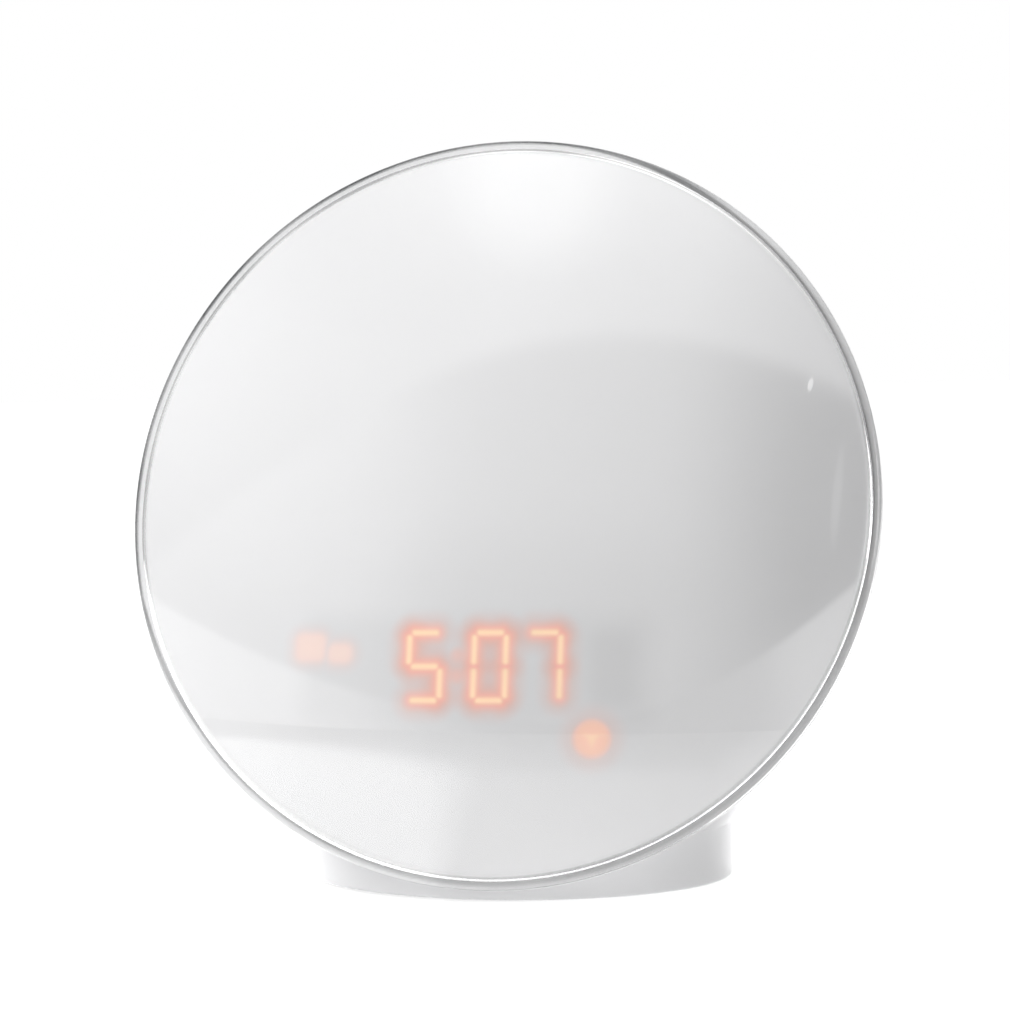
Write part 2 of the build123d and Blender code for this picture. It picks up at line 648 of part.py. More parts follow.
def key_switches():
    """Bodies of the push switches, bored for their plungers."""
    bore = PLUNGER_DIAMETER + 2 * PART_GAP
    depth = PLUNGER_LENGTH + KEY_REST_GAP
    bodies = []
    for x, y in key_places():
        body = block(SWITCH_SIZE, SWITCH_SIZE, SWITCH_BACK, KEY_BOARD_BACK, x, y)
        bodies.append(body - post(bore, SWITCH_BACK, KEY_STEM_END + depth + KEY_TRAVEL, x, y))
    return group(bodies)


def key_board_screw_places():
    """Places of the two screws at the ends of each key board."""
    reach = KEY_BOARD_LENGTH / 2 - BOARD_BOSS / 2
    return [(sx * KEY_X, sy * reach) for sx in (-1, 1) for sy in (-1, 1)]


def key_board(side):
    """Narrow board behind one column of keys."""
    board = block(KEY_BOARD_WIDTH, KEY_BOARD_LENGTH, KEY_BOARD_BACK, KEY_BOARD_BACK + BOARD,
                  side * KEY_X)
    for x, y in key_board_screw_places():
        board -= post(SMALL_SCREW_BORE, KEY_BOARD_BACK, KEY_BOARD_BACK + BOARD,
                      x, y)
    return board


def key_board_screws():
    """Screws that hold the key boards to the rear wall's bosses."""
    return small_screws(key_board_screw_places(), KEY_BOARD_BACK + BOARD, BOARD + BOARD_SCREW_GRIP)


# ---- loudspeaker, facing the rear wall ----
def speaker_ears():
    """Centres of the loudspeaker's four ears."""
    return around(4, SPEAKER_EAR_RADIUS, 45)


def speaker_gasket():
    """Foam ring between the loudspeaker and the rear wall."""
    outer = SPEAKER_EAR_RADIUS - BOARD_BOSS / 2 - PART_GAP
    return tube(2 * outer, 2 * SPEAKER_MOUTH, REAR_INSIDE, SPEAKER_SEAT)


def speaker_frame():
    """Pressed basket with four ears and an open mouth."""
    mouth = SPEAKER_MOUTH
    throat = MAGNET_DIAMETER / 2
    top = SPEAKER_SEAT + SPEAKER_FLANGE
    end = SPEAKER_SEAT + BASKET_DEPTH
    outline = polygon((mouth, SPEAKER_SEAT), (SPEAKER_DIAMETER / 2, SPEAKER_SEAT),
                      (SPEAKER_DIAMETER / 2, top), (mouth + BASKET_WALL, top), (throat, end),
                      (0, end), (0, end - BASKET_WALL), (throat - BASKET_WALL, end - BASKET_WALL),
                      (mouth, top))
    frame = turned(outline)
    for x, y in speaker_ears():
        frame += post(BOARD_BOSS, SPEAKER_SEAT, top, x, y) - post(2 * mouth, SPEAKER_SEAT, top)
        frame -= post(SMALL_SCREW_BORE, SPEAKER_SEAT, top, x, y)
    return frame


def speaker_magnet():
    """Round magnet on the back of the basket."""
    low = SPEAKER_SEAT + BASKET_DEPTH
    return post(MAGNET_DIAMETER, low, low + MAGNET_THICKNESS)


def speaker_cone():
    """Paper cone with its dust cap, free to move along its axis."""
    mouth = SPEAKER_MOUTH - CONE_GAP
    low = SPEAKER_SEAT + SPEAKER_FLANGE / 2
    deep = low + CONE_DEPTH - CONE_WALL
    outline = polygon((0, deep - CONE_WALL), (DUST_CAP, deep - CONE_WALL), (mouth - CONE_EDGE, low),
                      (mouth, low), (mouth, low + CONE_WALL),
                      (mouth - CONE_EDGE + CONE_WALL, low + CONE_WALL), (DUST_CAP, deep), (0, deep))
    return turned(outline)


def speaker_screws():
    """Screws through the loudspeaker's ears."""
    return small_screws(speaker_ears(), SPEAKER_SEAT + SPEAKER_FLANGE,
                        SPEAKER_FLANGE + GASKET_THICKNESS + SPEAKER_SCREW_GRIP)


# ---- case ----
def case_screw_places():
    """Places of the long case screws."""
    return at_angles(CASE_SCREW_ANGLES, CASE_SCREW_RADIUS, CASE_SCREW_RADIUS)


def case_seam():
    """Height in the head where the rear bosses meet the tray's posts."""
    return -HEAD_DEPTH + CASE_WELL_DEPTH + SHELL_WALL


def case_screws():
    """Long screws at the bottom of the rear wall's wells."""
    fastener = screw(SCREW_DIAMETER, SCREW_HEAD, SCREW_HEAD_HEIGHT, CASE_SCREW_LENGTH)
    return screws_at(case_screw_places(), -HEAD_DEPTH + CASE_WELL_DEPTH, fastener)


def bowl(inset, top):
    """Filled head form behind the rim, drawn inwards by inset."""
    radius = FACE_RADIUS - inset
    bend = LIP_BACK + inset * tan(TAPER / 2)
    rear = -HEAD_DEPTH + inset
    corner = bowl_radius(rear, inset)
    outline = polygon((0, rear), (corner, rear), (radius, bend), (radius, top), (0, top))
    turn = outline.vertices().sort_by_distance((corner, rear, 0))[0]
    return HEAD.location * turned(fillet(turn, HEAD_CORNER - inset))


def oval(width, inset, height):
    """Oval face of the foot's depth at a height, drawn inwards by inset."""
    return Pos(0, FOOT_Y, height) * Ellipse(width / 2 - inset, FOOT_DEPTH / 2 - inset)


def foot(inset, bottom, reach):
    """Filled foot and neck behind the head's lip, drawn inwards by inset."""
    wide = FOOT_WIDTH + 2 * NECK_FLARE
    flare_top = FOOT_STRAIGHT + NECK_FLARE_HEIGHT
    straight = extrude(oval(FOOT_WIDTH, inset, bottom), FOOT_STRAIGHT - bottom)
    if inset == 0:
        straight = fillet(straight.faces().sort_by(Axis.Z)[0].edges(), FOOT_EDGE_ROUND)
    flare_ends = [oval(FOOT_WIDTH, inset, FOOT_STRAIGHT), oval(wide, inset, flare_top)]
    neck = extrude(oval(wide, inset, flare_top), NECK_TOP - flare_top)
    form = straight + loft(flare_ends, ruled=True) + neck
    size = 4 * FACE_DIAMETER  # well beyond the clock
    back = Box(size, size, size, align=(Align.CENTER, Align.MIN, Align.MIN))
    start = Pos(0, FOOT_BACK - inset, NECK_BACK_START - inset)
    form -= start * Rot(NECK_BACK_LEAN, 0, 0) * Pos(0, 0, -size / 2) * back
    slope = form.faces().filter_by(GeomType.PLANE).sort_by(Axis((0, 0, 0), (0, 1, 1)))[-1]
    form = fillet(slope.edges().filter_by(GeomType.LINE, reverse=True), NECK_ROUND - inset)
    behind = HEAD.location * block(size, size, reach - size, reach)
    return form & behind


def foot_boss_places():
    """Places of the bottom cover's screws, close inside the foot's wall."""
    inward = SHELL_WALL + FOOT_BOSS / 2 - FOOT_BOSS_SINK
    return at_angles(FOOT_BOSS_ANGLES, FOOT_WIDTH / 2 - inward, FOOT_DEPTH / 2 - inward, FOOT_Y)


def grille_places():
    """Places of the loudspeaker's sound holes, in rings."""
    places = [(0.0, 0.0)]
    for ring in range(1, GRILLE_RINGS):
        places += around(6 * ring, ring * GRILLE_PITCH, 90)
    return places


def rear_shell():
    """White rear case: bowl, neck and foot in one moulding, with its bosses and openings."""
    outside = bowl(0, LIP_FRONT) + foot(0, FOOT_LIFT, LIP_FRONT - LIP_BAND / 4)
    room = bowl(SHELL_WALL, LIP_FRONT + SEAM) + foot(SHELL_WALL, 0, LIP_BACK)
    shell = outside - room
    ledge_out = bowl_radius(LEDGE_TOP, SHELL_WALL / 2)
    ledge_in = bowl_radius(LEDGE_TOP, SHELL_WALL) - AIR - LEDGE_WIDTH
    ledge = tube(2 * ledge_out, 2 * ledge_in, LEDGE_TOP - LEDGE_THICKNESS, LEDGE_TOP)
    bosses = [ledge & HEAD.location.inverse() * outside]
    cuts = []
    for x, y in case_screw_places():
        bosses.append(post(CASE_BOSS, REAR_INSIDE, case_seam(), x, y))
        cuts.append(post(SCREW_WELL, -HEAD_DEPTH, -HEAD_DEPTH + CASE_WELL_DEPTH, x, y))
        cuts.append(post(SCREW_BORE, -HEAD_DEPTH, case_seam(), x, y))
    for x, y in key_board_screw_places():
        bosses.append(post(BOARD_BOSS, REAR_INSIDE, KEY_BOARD_BACK, x, y))
        cuts.append(post(SMALL_SCREW_BORE, REAR_INSIDE, KEY_BOARD_BACK, x, y))
    speaker_bore_end = REAR_INSIDE - SPEAKER_SCREW_GRIP - 2 * SCREW_GAP
    for x, y in speaker_ears():
        bosses.append(post(BOARD_BOSS, REAR_INSIDE, SPEAKER_SEAT, x, y))
        cuts.append(post(SMALL_SCREW_BORE, speaker_bore_end, SPEAKER_SEAT, x, y))
    for x, y in key_places():
        cuts.append(pad_block(KEY_WIDTH + 2 * KEY_GAP, KEY_HEIGHT + 2 * KEY_GAP,
                              KEY_CORNER + KEY_GAP, -HEAD_DEPTH, REAR_INSIDE, x, y))
    for x, y in grille_places():
        cuts.append(post(GRILLE_HOLE, -HEAD_DEPTH, REAR_INSIDE, x, y))
    cuts.append(post(SPEAKER_DIAMETER, -HEAD_DEPTH, -HEAD_DEPTH + GRILLE_SINK))
    shell += [HEAD.location * boss for boss in bosses]
    shell -= [HEAD.location * cut for cut in cuts]
    for x, y in foot_boss_places():
        shell += post(FOOT_BOSS, PLATE_TOP, FOOT_BORE_END + FOOT_BOSS_CAP, x, y)
        shell -= post(SCREW_BORE, PLATE_TOP, FOOT_BORE_END, x, y)
    return shell - jack_nose(PART_GAP)


def touch_pad():
    """Copper foil under the top of the bowl that feels a hand."""
    front = LEDGE_TOP - LEDGE_THICKNESS - TOUCH_PAD_SETBACK
    back = front - TOUCH_PAD_LENGTH
    near = bowl_radius(front, SHELL_WALL)
    far = bowl_radius(back, SHELL_WALL)
    thick = TOUCH_PAD_THICKNESS
    strip = polygon((near, front), (far, back), (far - thick, back), (near - thick, front))
    sector = revolve(Plane.XZ * strip, Axis.Z, TOUCH_PAD_ANGLE)
    return Rot(0, 0, 90 - TOUCH_PAD_ANGLE / 2) * sector


# ---- foot parts ----
def pad_places():
    """Places of the rubber feet."""
    return at_angles((0, 90, 180, 270), FOOT_WIDTH / 2 * PAD_SPACING, FOOT_DEPTH / 2 * PAD_SPACING,
                     FOOT_Y)


def base_plate():
    """Bottom cover with sunk seats for the feet and bosses for the power board."""
    plate = extrude(oval(FOOT_WIDTH, SHELL_WALL + PART_GAP, PLATE_BOTTOM), PLATE_THICKNESS)
    for x, y in pad_places():
        plate -= post(PAD_DIAMETER + 2 * SCREW_GAP, PLATE_BOTTOM, PLATE_BOTTOM + PAD_SINK, x, y)
    for x, y in foot_boss_places():
        plate -= post(SCREW_DIAMETER + 2 * PART_GAP, PLATE_BOTTOM, PLATE_TOP, x, y)
        plate -= post(SCREW_WELL, PLATE_BOTTOM, PLATE_SCREW_SEAT, x, y)
    for x, y in power_board_corners():
        plate += post(BOARD_BOSS, PLATE_TOP, POWER_BOARD_BOTTOM, x, y)
        plate -= post(SMALL_SCREW_BORE, PLATE_TOP, POWER_BOARD_BOTTOM, x, y)
    return plate


def rubber_feet():
    """Four round rubber feet."""
    return group([post(PAD_DIAMETER, 0, PLATE_BOTTOM + PAD_SINK, x, y) for x, y in pad_places()])


def base_screws():
    """Screws that hold the bottom cover."""
    fastener = screw(SCREW_DIAMETER, SCREW_HEAD, PLATE_SCREW_HEAD, FOOT_SCREW_LENGTH)
    return screws_at(foot_boss_places(), PLATE_SCREW_SEAT, fastener)


def power_board_y():
    """Middle of the power board, set so that the jack reaches the foot's rear wall."""
    return JACK_BODY_Y - JACK_OVERHANG - POWER_BOARD_DEPTH / 2


def power_board_corners():
    """Places of the power board's two screws, at its front corners."""
    dx = POWER_BOARD_WIDTH / 2 - BOARD_BOSS / 2
    return [(sx * dx, power_board_y() - POWER_BOARD_DEPTH / 2 + BOARD_BOSS / 2) for sx in (-1, 1)]


def power_board():
    """Small board that carries the inlet."""
    board = block(POWER_BOARD_WIDTH, POWER_BOARD_DEPTH, POWER_BOARD_BOTTOM, POWER_BOARD_TOP,
                  0, power_board_y())
    for x, y in power_board_corners():
        board -= post(SMALL_SCREW_BORE, POWER_BOARD_BOTTOM, POWER_BOARD_TOP, x, y)
    return board


def along_y(diameter, near, far):
    """Round rod along Y at the jack's height."""
    rod = Cylinder(diameter / 2, far - near, align=(Align.CENTER, Align.CENTER, Align.MIN))
    return Pos(0, near, JACK_Z) * Rot(-90, 0, 0) * rod


def jack_nose(grow):
    """Round nose of the jack where it passes the foot's wall, grown all round."""
    return along_y(JACK_NOSE + 2 * grow, JACK_BODY_Y, FOOT_BACK + SHELL_WALL)


def dc_jack():
    """Power inlet: square body, round nose, bore and centre pin."""
    body = block(JACK_WIDTH, JACK_LENGTH, POWER_BOARD_TOP, POWER_BOARD_TOP + JACK_HEIGHT,
                 0, JACK_BODY_Y - JACK_LENGTH / 2)
    nose = along_y(JACK_NOSE, JACK_BODY_Y, JACK_FACE_Y)
    bore = along_y(JACK_BORE, JACK_FACE_Y - JACK_BORE_DEPTH, JACK_FACE_Y)
    pin = along_y(JACK_PIN, JACK_FACE_Y - JACK_BORE_DEPTH, JACK_FACE_Y - JACK_PIN / 2)
    return body + nose - bore + pin


def power_capacitors():
    """Upright cans beside the jack."""
    x = (POWER_BOARD_WIDTH - POWER_CAPACITOR_DIAMETER) / 2 - PART_GAP
    top = POWER_BOARD_TOP + POWER_CAPACITOR_LENGTH
    return group([post(POWER_CAPACITOR_DIAMETER, POWER_BOARD_TOP, top, side * x, power_board_y())
                  for side in (-1, 1)])


def power_board_screws():
    """Screws that hold the power board."""
    return small_screws(power_board_corners(), POWER_BOARD_TOP,
                        BOARD + POWER_BOSS_HEIGHT - SCREW_END_GAP)


# ---- all pieces, by node name ----
HEAD_PIECES = {
    "front_cover": front_cover(),
    "diffuser": diffuser(),
    "light_tray": light_tray(),
    "led_board": led_board(),
    "led_chips": led_chips(),
    "display_board": display_board(),
    "display_module": display_module(),
    "display_lit_segments": display_tiles(True),
    "display_dark_segments": display_tiles(False),
    "display_ribbon": display_ribbon(),
    "indicator_sleeve": indicator_sleeve(),
    "indicator_lamp": indicator_lamp(),
    "indicator_lens": indicator_lens(),
    "main_board": main_board(),
    "main_chips": main_chips(),
    "capacitors": capacitors(),
    "cell_holder": cell_holder(),
    "coin_cell": coin_cell(),
    "wire_connectors": wire_connectors(),
    "main_board_screws": main_board_screws(),
    "key_switches": key_switches(),
    "key_board_left": key_board(-1),
    "key_board_right": key_board(1),
    "key_board_screws": key_board_screws(),
    "speaker_gasket": speaker_gasket(),
    "speaker_frame": speaker_frame(),
    "speaker_magnet": speaker_magnet(),
    "speaker_cone": speaker_cone(),
    "speaker_screws": speaker_screws(),
    "case_screws": case_screws(),
    "touch_pad": touch_pad(),
}
for name, (x, y) in zip(KEY_NAMES, key_places()):
    HEAD_PIECES["key_" + name] = key(x, y)
    HEAD_PIECES["plunger_" + name] = key_plunger(x, y)
STANDING_PIECES = {
    "rear_shell": rear_shell(),
    "base_plate": base_plate(),
    "rubber_feet": rubber_feet(),
    "base_screws": base_screws(),
    "power_board": power_board(),
    "dc_jack": dc_jack(),
    "power_capacitors": power_capacitors(),
    "power_board_screws": power_board_screws(),
}

os.makedirs("parts", exist_ok=True)
for name, piece in HEAD_PIECES.items():
    export_step(HEAD.location * piece, "parts/" + name + ".step")
for name, piece in STANDING_PIECES.items():
    export_step(piece, "parts/" + name + ".step")
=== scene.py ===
"""Looks of a round sunrise alarm clock, built round its fixed frame.

The face's own frame is used for everything in the head: millimetres from the middle of the
rim, x to the right, y up the face and z out of it. It leans back by the tilt.
"""
import json
from math import cos, pi, radians, sin
from types import SimpleNamespace

import bpy
import numpy as np
from mathutils import Matrix, Vector

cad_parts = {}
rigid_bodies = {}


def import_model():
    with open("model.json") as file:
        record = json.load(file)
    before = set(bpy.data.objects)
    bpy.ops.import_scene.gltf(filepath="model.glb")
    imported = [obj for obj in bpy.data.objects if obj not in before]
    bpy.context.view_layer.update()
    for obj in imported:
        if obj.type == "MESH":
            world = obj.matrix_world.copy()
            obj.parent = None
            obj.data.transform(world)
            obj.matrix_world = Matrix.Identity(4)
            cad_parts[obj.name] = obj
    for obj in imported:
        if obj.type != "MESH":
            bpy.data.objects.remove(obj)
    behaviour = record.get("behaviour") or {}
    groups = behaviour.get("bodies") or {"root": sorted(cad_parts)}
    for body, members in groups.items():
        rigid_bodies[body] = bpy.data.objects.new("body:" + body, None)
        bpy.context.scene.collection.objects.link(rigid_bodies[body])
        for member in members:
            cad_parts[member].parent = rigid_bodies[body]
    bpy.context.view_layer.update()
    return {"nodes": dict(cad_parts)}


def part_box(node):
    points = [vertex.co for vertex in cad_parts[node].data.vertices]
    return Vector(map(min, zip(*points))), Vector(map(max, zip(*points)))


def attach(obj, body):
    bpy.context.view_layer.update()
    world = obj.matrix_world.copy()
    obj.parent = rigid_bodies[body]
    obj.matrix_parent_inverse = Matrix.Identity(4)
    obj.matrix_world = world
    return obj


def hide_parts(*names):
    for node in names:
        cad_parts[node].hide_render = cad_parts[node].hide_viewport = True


bl_info = {
    "name": "Sunrise Alarm Clock",
    "version": (1, 0, 0),
    "blender": (4, 5, 0),
    "location": "View3D > Sidebar > Alarm Clock",
    "description": "Builds the cover, diffuser, finishes, key marks and studio of an alarm clock",
    "category": "Object",
}

for leftover in list(bpy.data.objects):
    bpy.data.objects.remove(leftover)
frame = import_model()

# lengths in millimetres, angles in degrees
FACE_TILT = 15.5
TILT = radians(FACE_TILT)
FACE_CENTRE = np.array((0.0, -22.727, 84.545))  # middle of the rim in the clock's frame
FACE_AXES = np.array(((1, 0, 0), (0, sin(TILT), cos(TILT)), (0, -cos(TILT), sin(TILT))))
VIEW_AZIMUTH = 12.85
VIEW_ELEVATION = 3.35
VIEW_DISTANCE = 600.0
ROUND_STEPS = 320  # faces round the cover and the diffuser
DOME_STEPS = 60  # points from the middle of a dome to its edge
NOISE_LOW, NOISE_HIGH = 0.35, 0.65  # most values of a noise texture lie between them

# in the face's frame
DISPLAY_HEIGHT = 0.4  # front of the display's tiles
KEY_BACK = -55.2  # outer face of the keys
INK = 0.04  # how far a printed mark reaches out of its key and into it

# painted glow and shade from the display behind the diffuser: x on the face and height above the figures'
# middle, then half sizes
COLON_HEIGHTS = (-2.2, 2.6)
LEFT_SIGNS = (((-40.2, 4.2), (1.5, 1.2)), ((-33.6, 2.9), (0.9, 0.3)))
HOUSING_SHADE = ((-3.0, -1.0), (35.0, 8.0))
DARK_END_SHADE = ((27.2, -0.5), (1.5, 4.5))
TRAY_SHADE = ((12.0, 4.0), (16.0, 6.0))
INDICATOR_SIGN = 0.5  # inner radius of the triangle on the indicator

# widths of lines in the signs printed on the keys
SIGN_LINE = 0.35
SIGN_BOLD_LINE = 0.4

# the studio
SENSOR_WIDTH = 36.0
PICTURE_SIDE = 1010  # pixels
PICTURE_SHIFT = (9.0, -0.8)  # pixels that the view moves to the right and up
SOFTBOX_SIDE = 0.9  # metres
SOFTBOX_PLACE = (-0.8, -0.4, 0.9)  # metres from the middle of the face
FLOOR_REACH = 6.0  # metres
FLOOR_HEIGHT = -0.0001  # metres, just under the feet

# lamps that glossy pieces mirror: place and half size along the direction's x and z, and the level
MIRRORED_LAMPS = (
    ((-0.158, 0.906), (0.2, 0.12), 0.6),  # glow overhead
    ((-0.62, 0.5), (0.42, 0.42), 0.4),  # wide glow at the left
    ((0.387, 0.629), (0.006, 0.014), 4.0),  # bare lamp
    ((0.456, 0.43), (0.012, 0.13), 0.7),  # upright strip
    ((1.0, 0.2), (0.14, 0.4), 4.0),  # side light at the right
)


# ---- small tools ----
def linear(hex_code):
    """Linear colour with alpha from an sRGB hex code."""
    channels = np.array([int(hex_code[i:i + 2], 16) for i in (1, 3, 5)]) / 255
    curved = np.where(channels <= 0.04045, channels / 12.92, ((channels + 0.055) / 1.055) ** 2.4)
    return (*curved.tolist(), 1.0)


def add(tree, kind, inputs=None, **settings):
    """Add a node; inputs maps its sockets to values, sockets, or nodes whose first output is used.

    By number, a Map Range takes its value, from low, from high, to low and to high. A Mix takes its
    factor and then two numbers at 2 and 3, or two colours at 6 and 7.
    """
    made = tree.nodes.new(kind)
    for name, value in settings.items():
        setattr(made, name, value)
    for key, value in (inputs or {}).items():
        if isinstance(value, bpy.types.Node):
            value = value.outputs[0]
        if isinstance(value, bpy.types.NodeSocket):
            tree.links.new(value, made.inputs[key])
        else:
            made.inputs[key].default_value = value
    return made


def gathered(tree, values, operation):
    """One value from several, by taking them in turn with a Math operation."""
    result = values[0]
    for value in values[1:]:
        result = add(tree, "ShaderNodeMath", {0: result, 1: value}, operation=operation)
    return result


def new_material(name):
    """Empty node material and its tree."""
    made = bpy.data.materials.new(name)
    made.use_nodes = True
    made.node_tree.nodes.clear()
    return made, made.node_tree


def finish_material(tree, shader):
    """Send a shader to the material's output."""
    add(tree, "ShaderNodeOutputMaterial", {"Surface": shader})


def dress(material, *nodes):
    """Give a material to frame nodes."""
    for name in nodes:
        for slot in frame["nodes"][name].material_slots:
            slot.material = material


def in_millimetres(group):
    """A settings group's lengths in millimetres, by name."""
    sizes = {}
    for name, prop in group.bl_rna.properties.items():
        if getattr(prop, "unit", "NONE") == "LENGTH":
            sizes[name] = getattr(group, name) * 1000
    return SimpleNamespace(**sizes)


def placed(local):
    """Points of the face's frame in the clock's frame, in metres: centre plus each axis times its share."""
    return (FACE_CENTRE + np.asarray(local, float) @ FACE_AXES) / 1000


def towards_viewer(azimuth, elevation):
    """Unit vector from the clock to a viewer: (sin a cos e, -cos a cos e, sin e)."""
    return np.array((sin(azimuth) * cos(elevation), -cos(azimuth) * cos(elevation), sin(elevation)))


def piece(name, points, faces, material, body, smooth=True):
    """Object from points in metres and faces, riding on a body."""
    mesh = bpy.data.meshes.new(name)
    mesh.from_pydata(points.tolist(), [], faces)
    mesh.polygons.foreach_set("use_smooth", np.full(len(mesh.polygons), smooth))
    mesh.materials.append(material)
    mesh.validate()
    made = bpy.data.objects.new(name, mesh)
    bpy.context.scene.collection.objects.link(made)
    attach(made, body)
    return made


def arc(centre, radius, start, end, count):
    """Points on a circle: centre plus radius times (cosine, sine) of evenly spaced angles in degrees."""
    angles = np.radians(np.linspace(start, end, count))
    return np.stack([centre[0] + radius * np.cos(angles), centre[1] + radius * np.sin(angles)], -1)


def dome(sphere, centre, near, far):
    """Outline of a dome from radius near to far, on a sphere whose middle is at height centre.

    The height at radius r is centre plus the root of sphere squared less r squared.
    """
    radii = np.linspace(near, far, DOME_STEPS)
    return np.stack([radii, centre + np.sqrt(sphere ** 2 - radii ** 2)], -1)


def turned(outline, steps):
    """Surface of revolution: an outline point (r, h) at angle a becomes (r cos a, r sin a, h).

    The outline runs from the upper pole out and round to the lower pole; each pole closes with a fan.
    """
    rings = outline[1:-1]
    angles = np.linspace(0, 2 * pi, steps, endpoint=False)
    flat = [np.outer(rings[:, 0], np.cos(angles)), np.outer(rings[:, 0], np.sin(angles)),
            np.repeat(rings[:, 1:], steps, axis=1)]
    points = np.vstack([np.stack(flat, -1).reshape(-1, 3), (0, 0, outline[0, 1]), (0, 0, outline[-1, 1])])
    here = np.arange(steps)
    following = (here + 1) % steps
    row = np.arange(len(rings) - 1)[:, None] * steps
    quads = np.stack([row + here, row + steps + here, row + steps + following, row + following], -1)
    top = len(points) - 2
    last_row = (len(rings) - 1) * steps
    upper = np.stack([np.full(steps, top), here, following], -1)
    lower = np.stack([np.full(steps, top + 1), last_row + following, last_row + here], -1)
    return points, quads.reshape(-1, 4).tolist() + upper.tolist() + lower.tolist()


def slabs(outlines, near, far):
    """Flat prisms: each outline stands at two heights, with a lid at both and a wall of quads between.

    The outlines run anticlockwise as seen from the near side.
    """
    points, faces, first = [], [], 0
    for outline in outlines:
        count = len(outline)
        here = first + np.arange(count)
        following = first + (np.arange(count) + 1) % count
        points += [np.column_stack([outline, np.full(count, height)]) for height in (near, far)]
        faces += np.stack([here, here + count, following + count, following], -1).tolist()
        faces += [here.tolist(), (here + count)[::-1].tolist()]
        first += 2 * count
    return np.vstack(points), faces


# ---- finishes ----
def face_point(tree):
    """Shaded point in the face's frame, in millimetres."""
    lean = Matrix(FACE_AXES.tolist())
    shift = -(lean @ Vector(FACE_CENTRE.tolist()))
    coords = add(tree, "ShaderNodeTexCoord")
    return add(tree, "ShaderNodeMapping", {"Vector": coords.outputs["Object"], "Location": shift,
                                           "Rotation": lean.to_euler(), "Scale": (1000, 1000, 1000)})


def polished_acrylic(face):
    """Cast acrylic, moulded and flame polished: clear as glass, with sharp reflections over the milky face.

    A thin dark line is painted into its colour near the edge: a painted reflection of the dark of the room.
    On the upper left the line lies at the very edge; on the right and low on the face it lies further
    in and is fainter. Light for shadows and for the milky face passes straight through.
    """
    edge_inset, right_inset, low_inset = 0.5, 2.0, 2.1
    line_core, line_reach = 0.3, 0.85  # half widths of the line's dark core and of all of it
    swell_scale = 0.033  # the line swells and thins over some 30 mm
    material, tree = new_material("polished_acrylic")
    place = add(tree, "ShaderNodeSeparateXYZ", {0: face_point(tree)})
    x, y = place.outputs[0], place.outputs[1]
    flat = add(tree, "ShaderNodeCombineXYZ", {0: x, 1: y})
    radius = add(tree, "ShaderNodeVectorMath", {0: flat}, operation="LENGTH").outputs["Value"]

    inset_right = add(tree, "ShaderNodeMapRange", {0: x, 1: 10.0, 2: 60.0, 3: edge_inset, 4: right_inset},
                      interpolation_type="SMOOTHSTEP")
    inset_low = add(tree, "ShaderNodeMapRange", {0: y, 1: -20.0, 2: -50.0, 3: edge_inset, 4: low_inset})
    inset = gathered(tree, [inset_right, inset_low], "MAXIMUM")
    line = add(tree, "ShaderNodeMath", {0: face.radius, 1: inset}, operation="SUBTRACT")
    offset = add(tree, "ShaderNodeMath", {0: radius, 1: line}, operation="SUBTRACT")
    beside = add(tree, "ShaderNodeMath", {0: offset}, operation="ABSOLUTE")
    on_line = add(tree, "ShaderNodeMapRange", {0: beside, 1: line_reach, 2: line_core},
                  interpolation_type="SMOOTHSTEP")
    fade_low = add(tree, "ShaderNodeMapRange", {0: y, 1: -34.0, 2: -14.0, 3: 0.62, 4: 1.0},
                   interpolation_type="SMOOTHSTEP")
    fade_right = add(tree, "ShaderNodeMapRange", {0: x, 1: 20.0, 2: 70.0, 3: 1.0, 4: 0.6})
    swell = add(tree, "ShaderNodeTexNoise", {"Vector": flat, "Scale": swell_scale, "Detail": 1.0})
    swollen = add(tree, "ShaderNodeMapRange", {0: swell, 1: NOISE_LOW, 2: NOISE_HIGH, 3: 0.7, 4: 1.0})
    # painted reflection: this thin dark line is mixed into the glass's colour, in place of the room's dark
    # mirrored in the rim
    dark = gathered(tree, [on_line, fade_low, swollen, fade_right], "MULTIPLY")
    painted_rim_reflection = add(tree, "ShaderNodeMix", {0: dark, 6: linear("#FFFFFF"), 7: linear("#45484A")},
               data_type="RGBA").outputs[2]

    clear = add(tree, "ShaderNodeBsdfPrincipled", {
        "Base Color": painted_rim_reflection, "Roughness": 0.0, "IOR": 1.49, "Transmission Weight": 1.0})
    path = add(tree, "ShaderNodeLightPath")
    passing = gathered(tree, [path.outputs["Is Shadow Ray"], path.outputs["Is Diffuse Ray"]], "MAXIMUM")
    through = add(tree, "ShaderNodeBsdfTransparent", {"Color": linear("#FFFFFF")})
    finish_material(tree, add(tree, "ShaderNodeMixShader", {0: passing, 1: clear, 2: through}))
    return material


def box_distance(tree, point, centre, half):
    """Distance outside a flat box: length of the positive part of |point - centre| - half."""
    moved = add(tree, "ShaderNodeVectorMath", {0: point, 1: (*centre, 0)}, operation="SUBTRACT")
    folded = add(tree, "ShaderNodeVectorMath", {0: moved}, operation="ABSOLUTE")
    past = add(tree, "ShaderNodeVectorMath", {0: folded, 1: (*half, 0)}, operation="SUBTRACT")
    outside = add(tree, "ShaderNodeVectorMath", {0: past, 1: (0, 0, 0)}, operation="MAXIMUM")
    return add(tree, "ShaderNodeVectorMath", {0: outside}, operation="LENGTH").outputs["Value"]


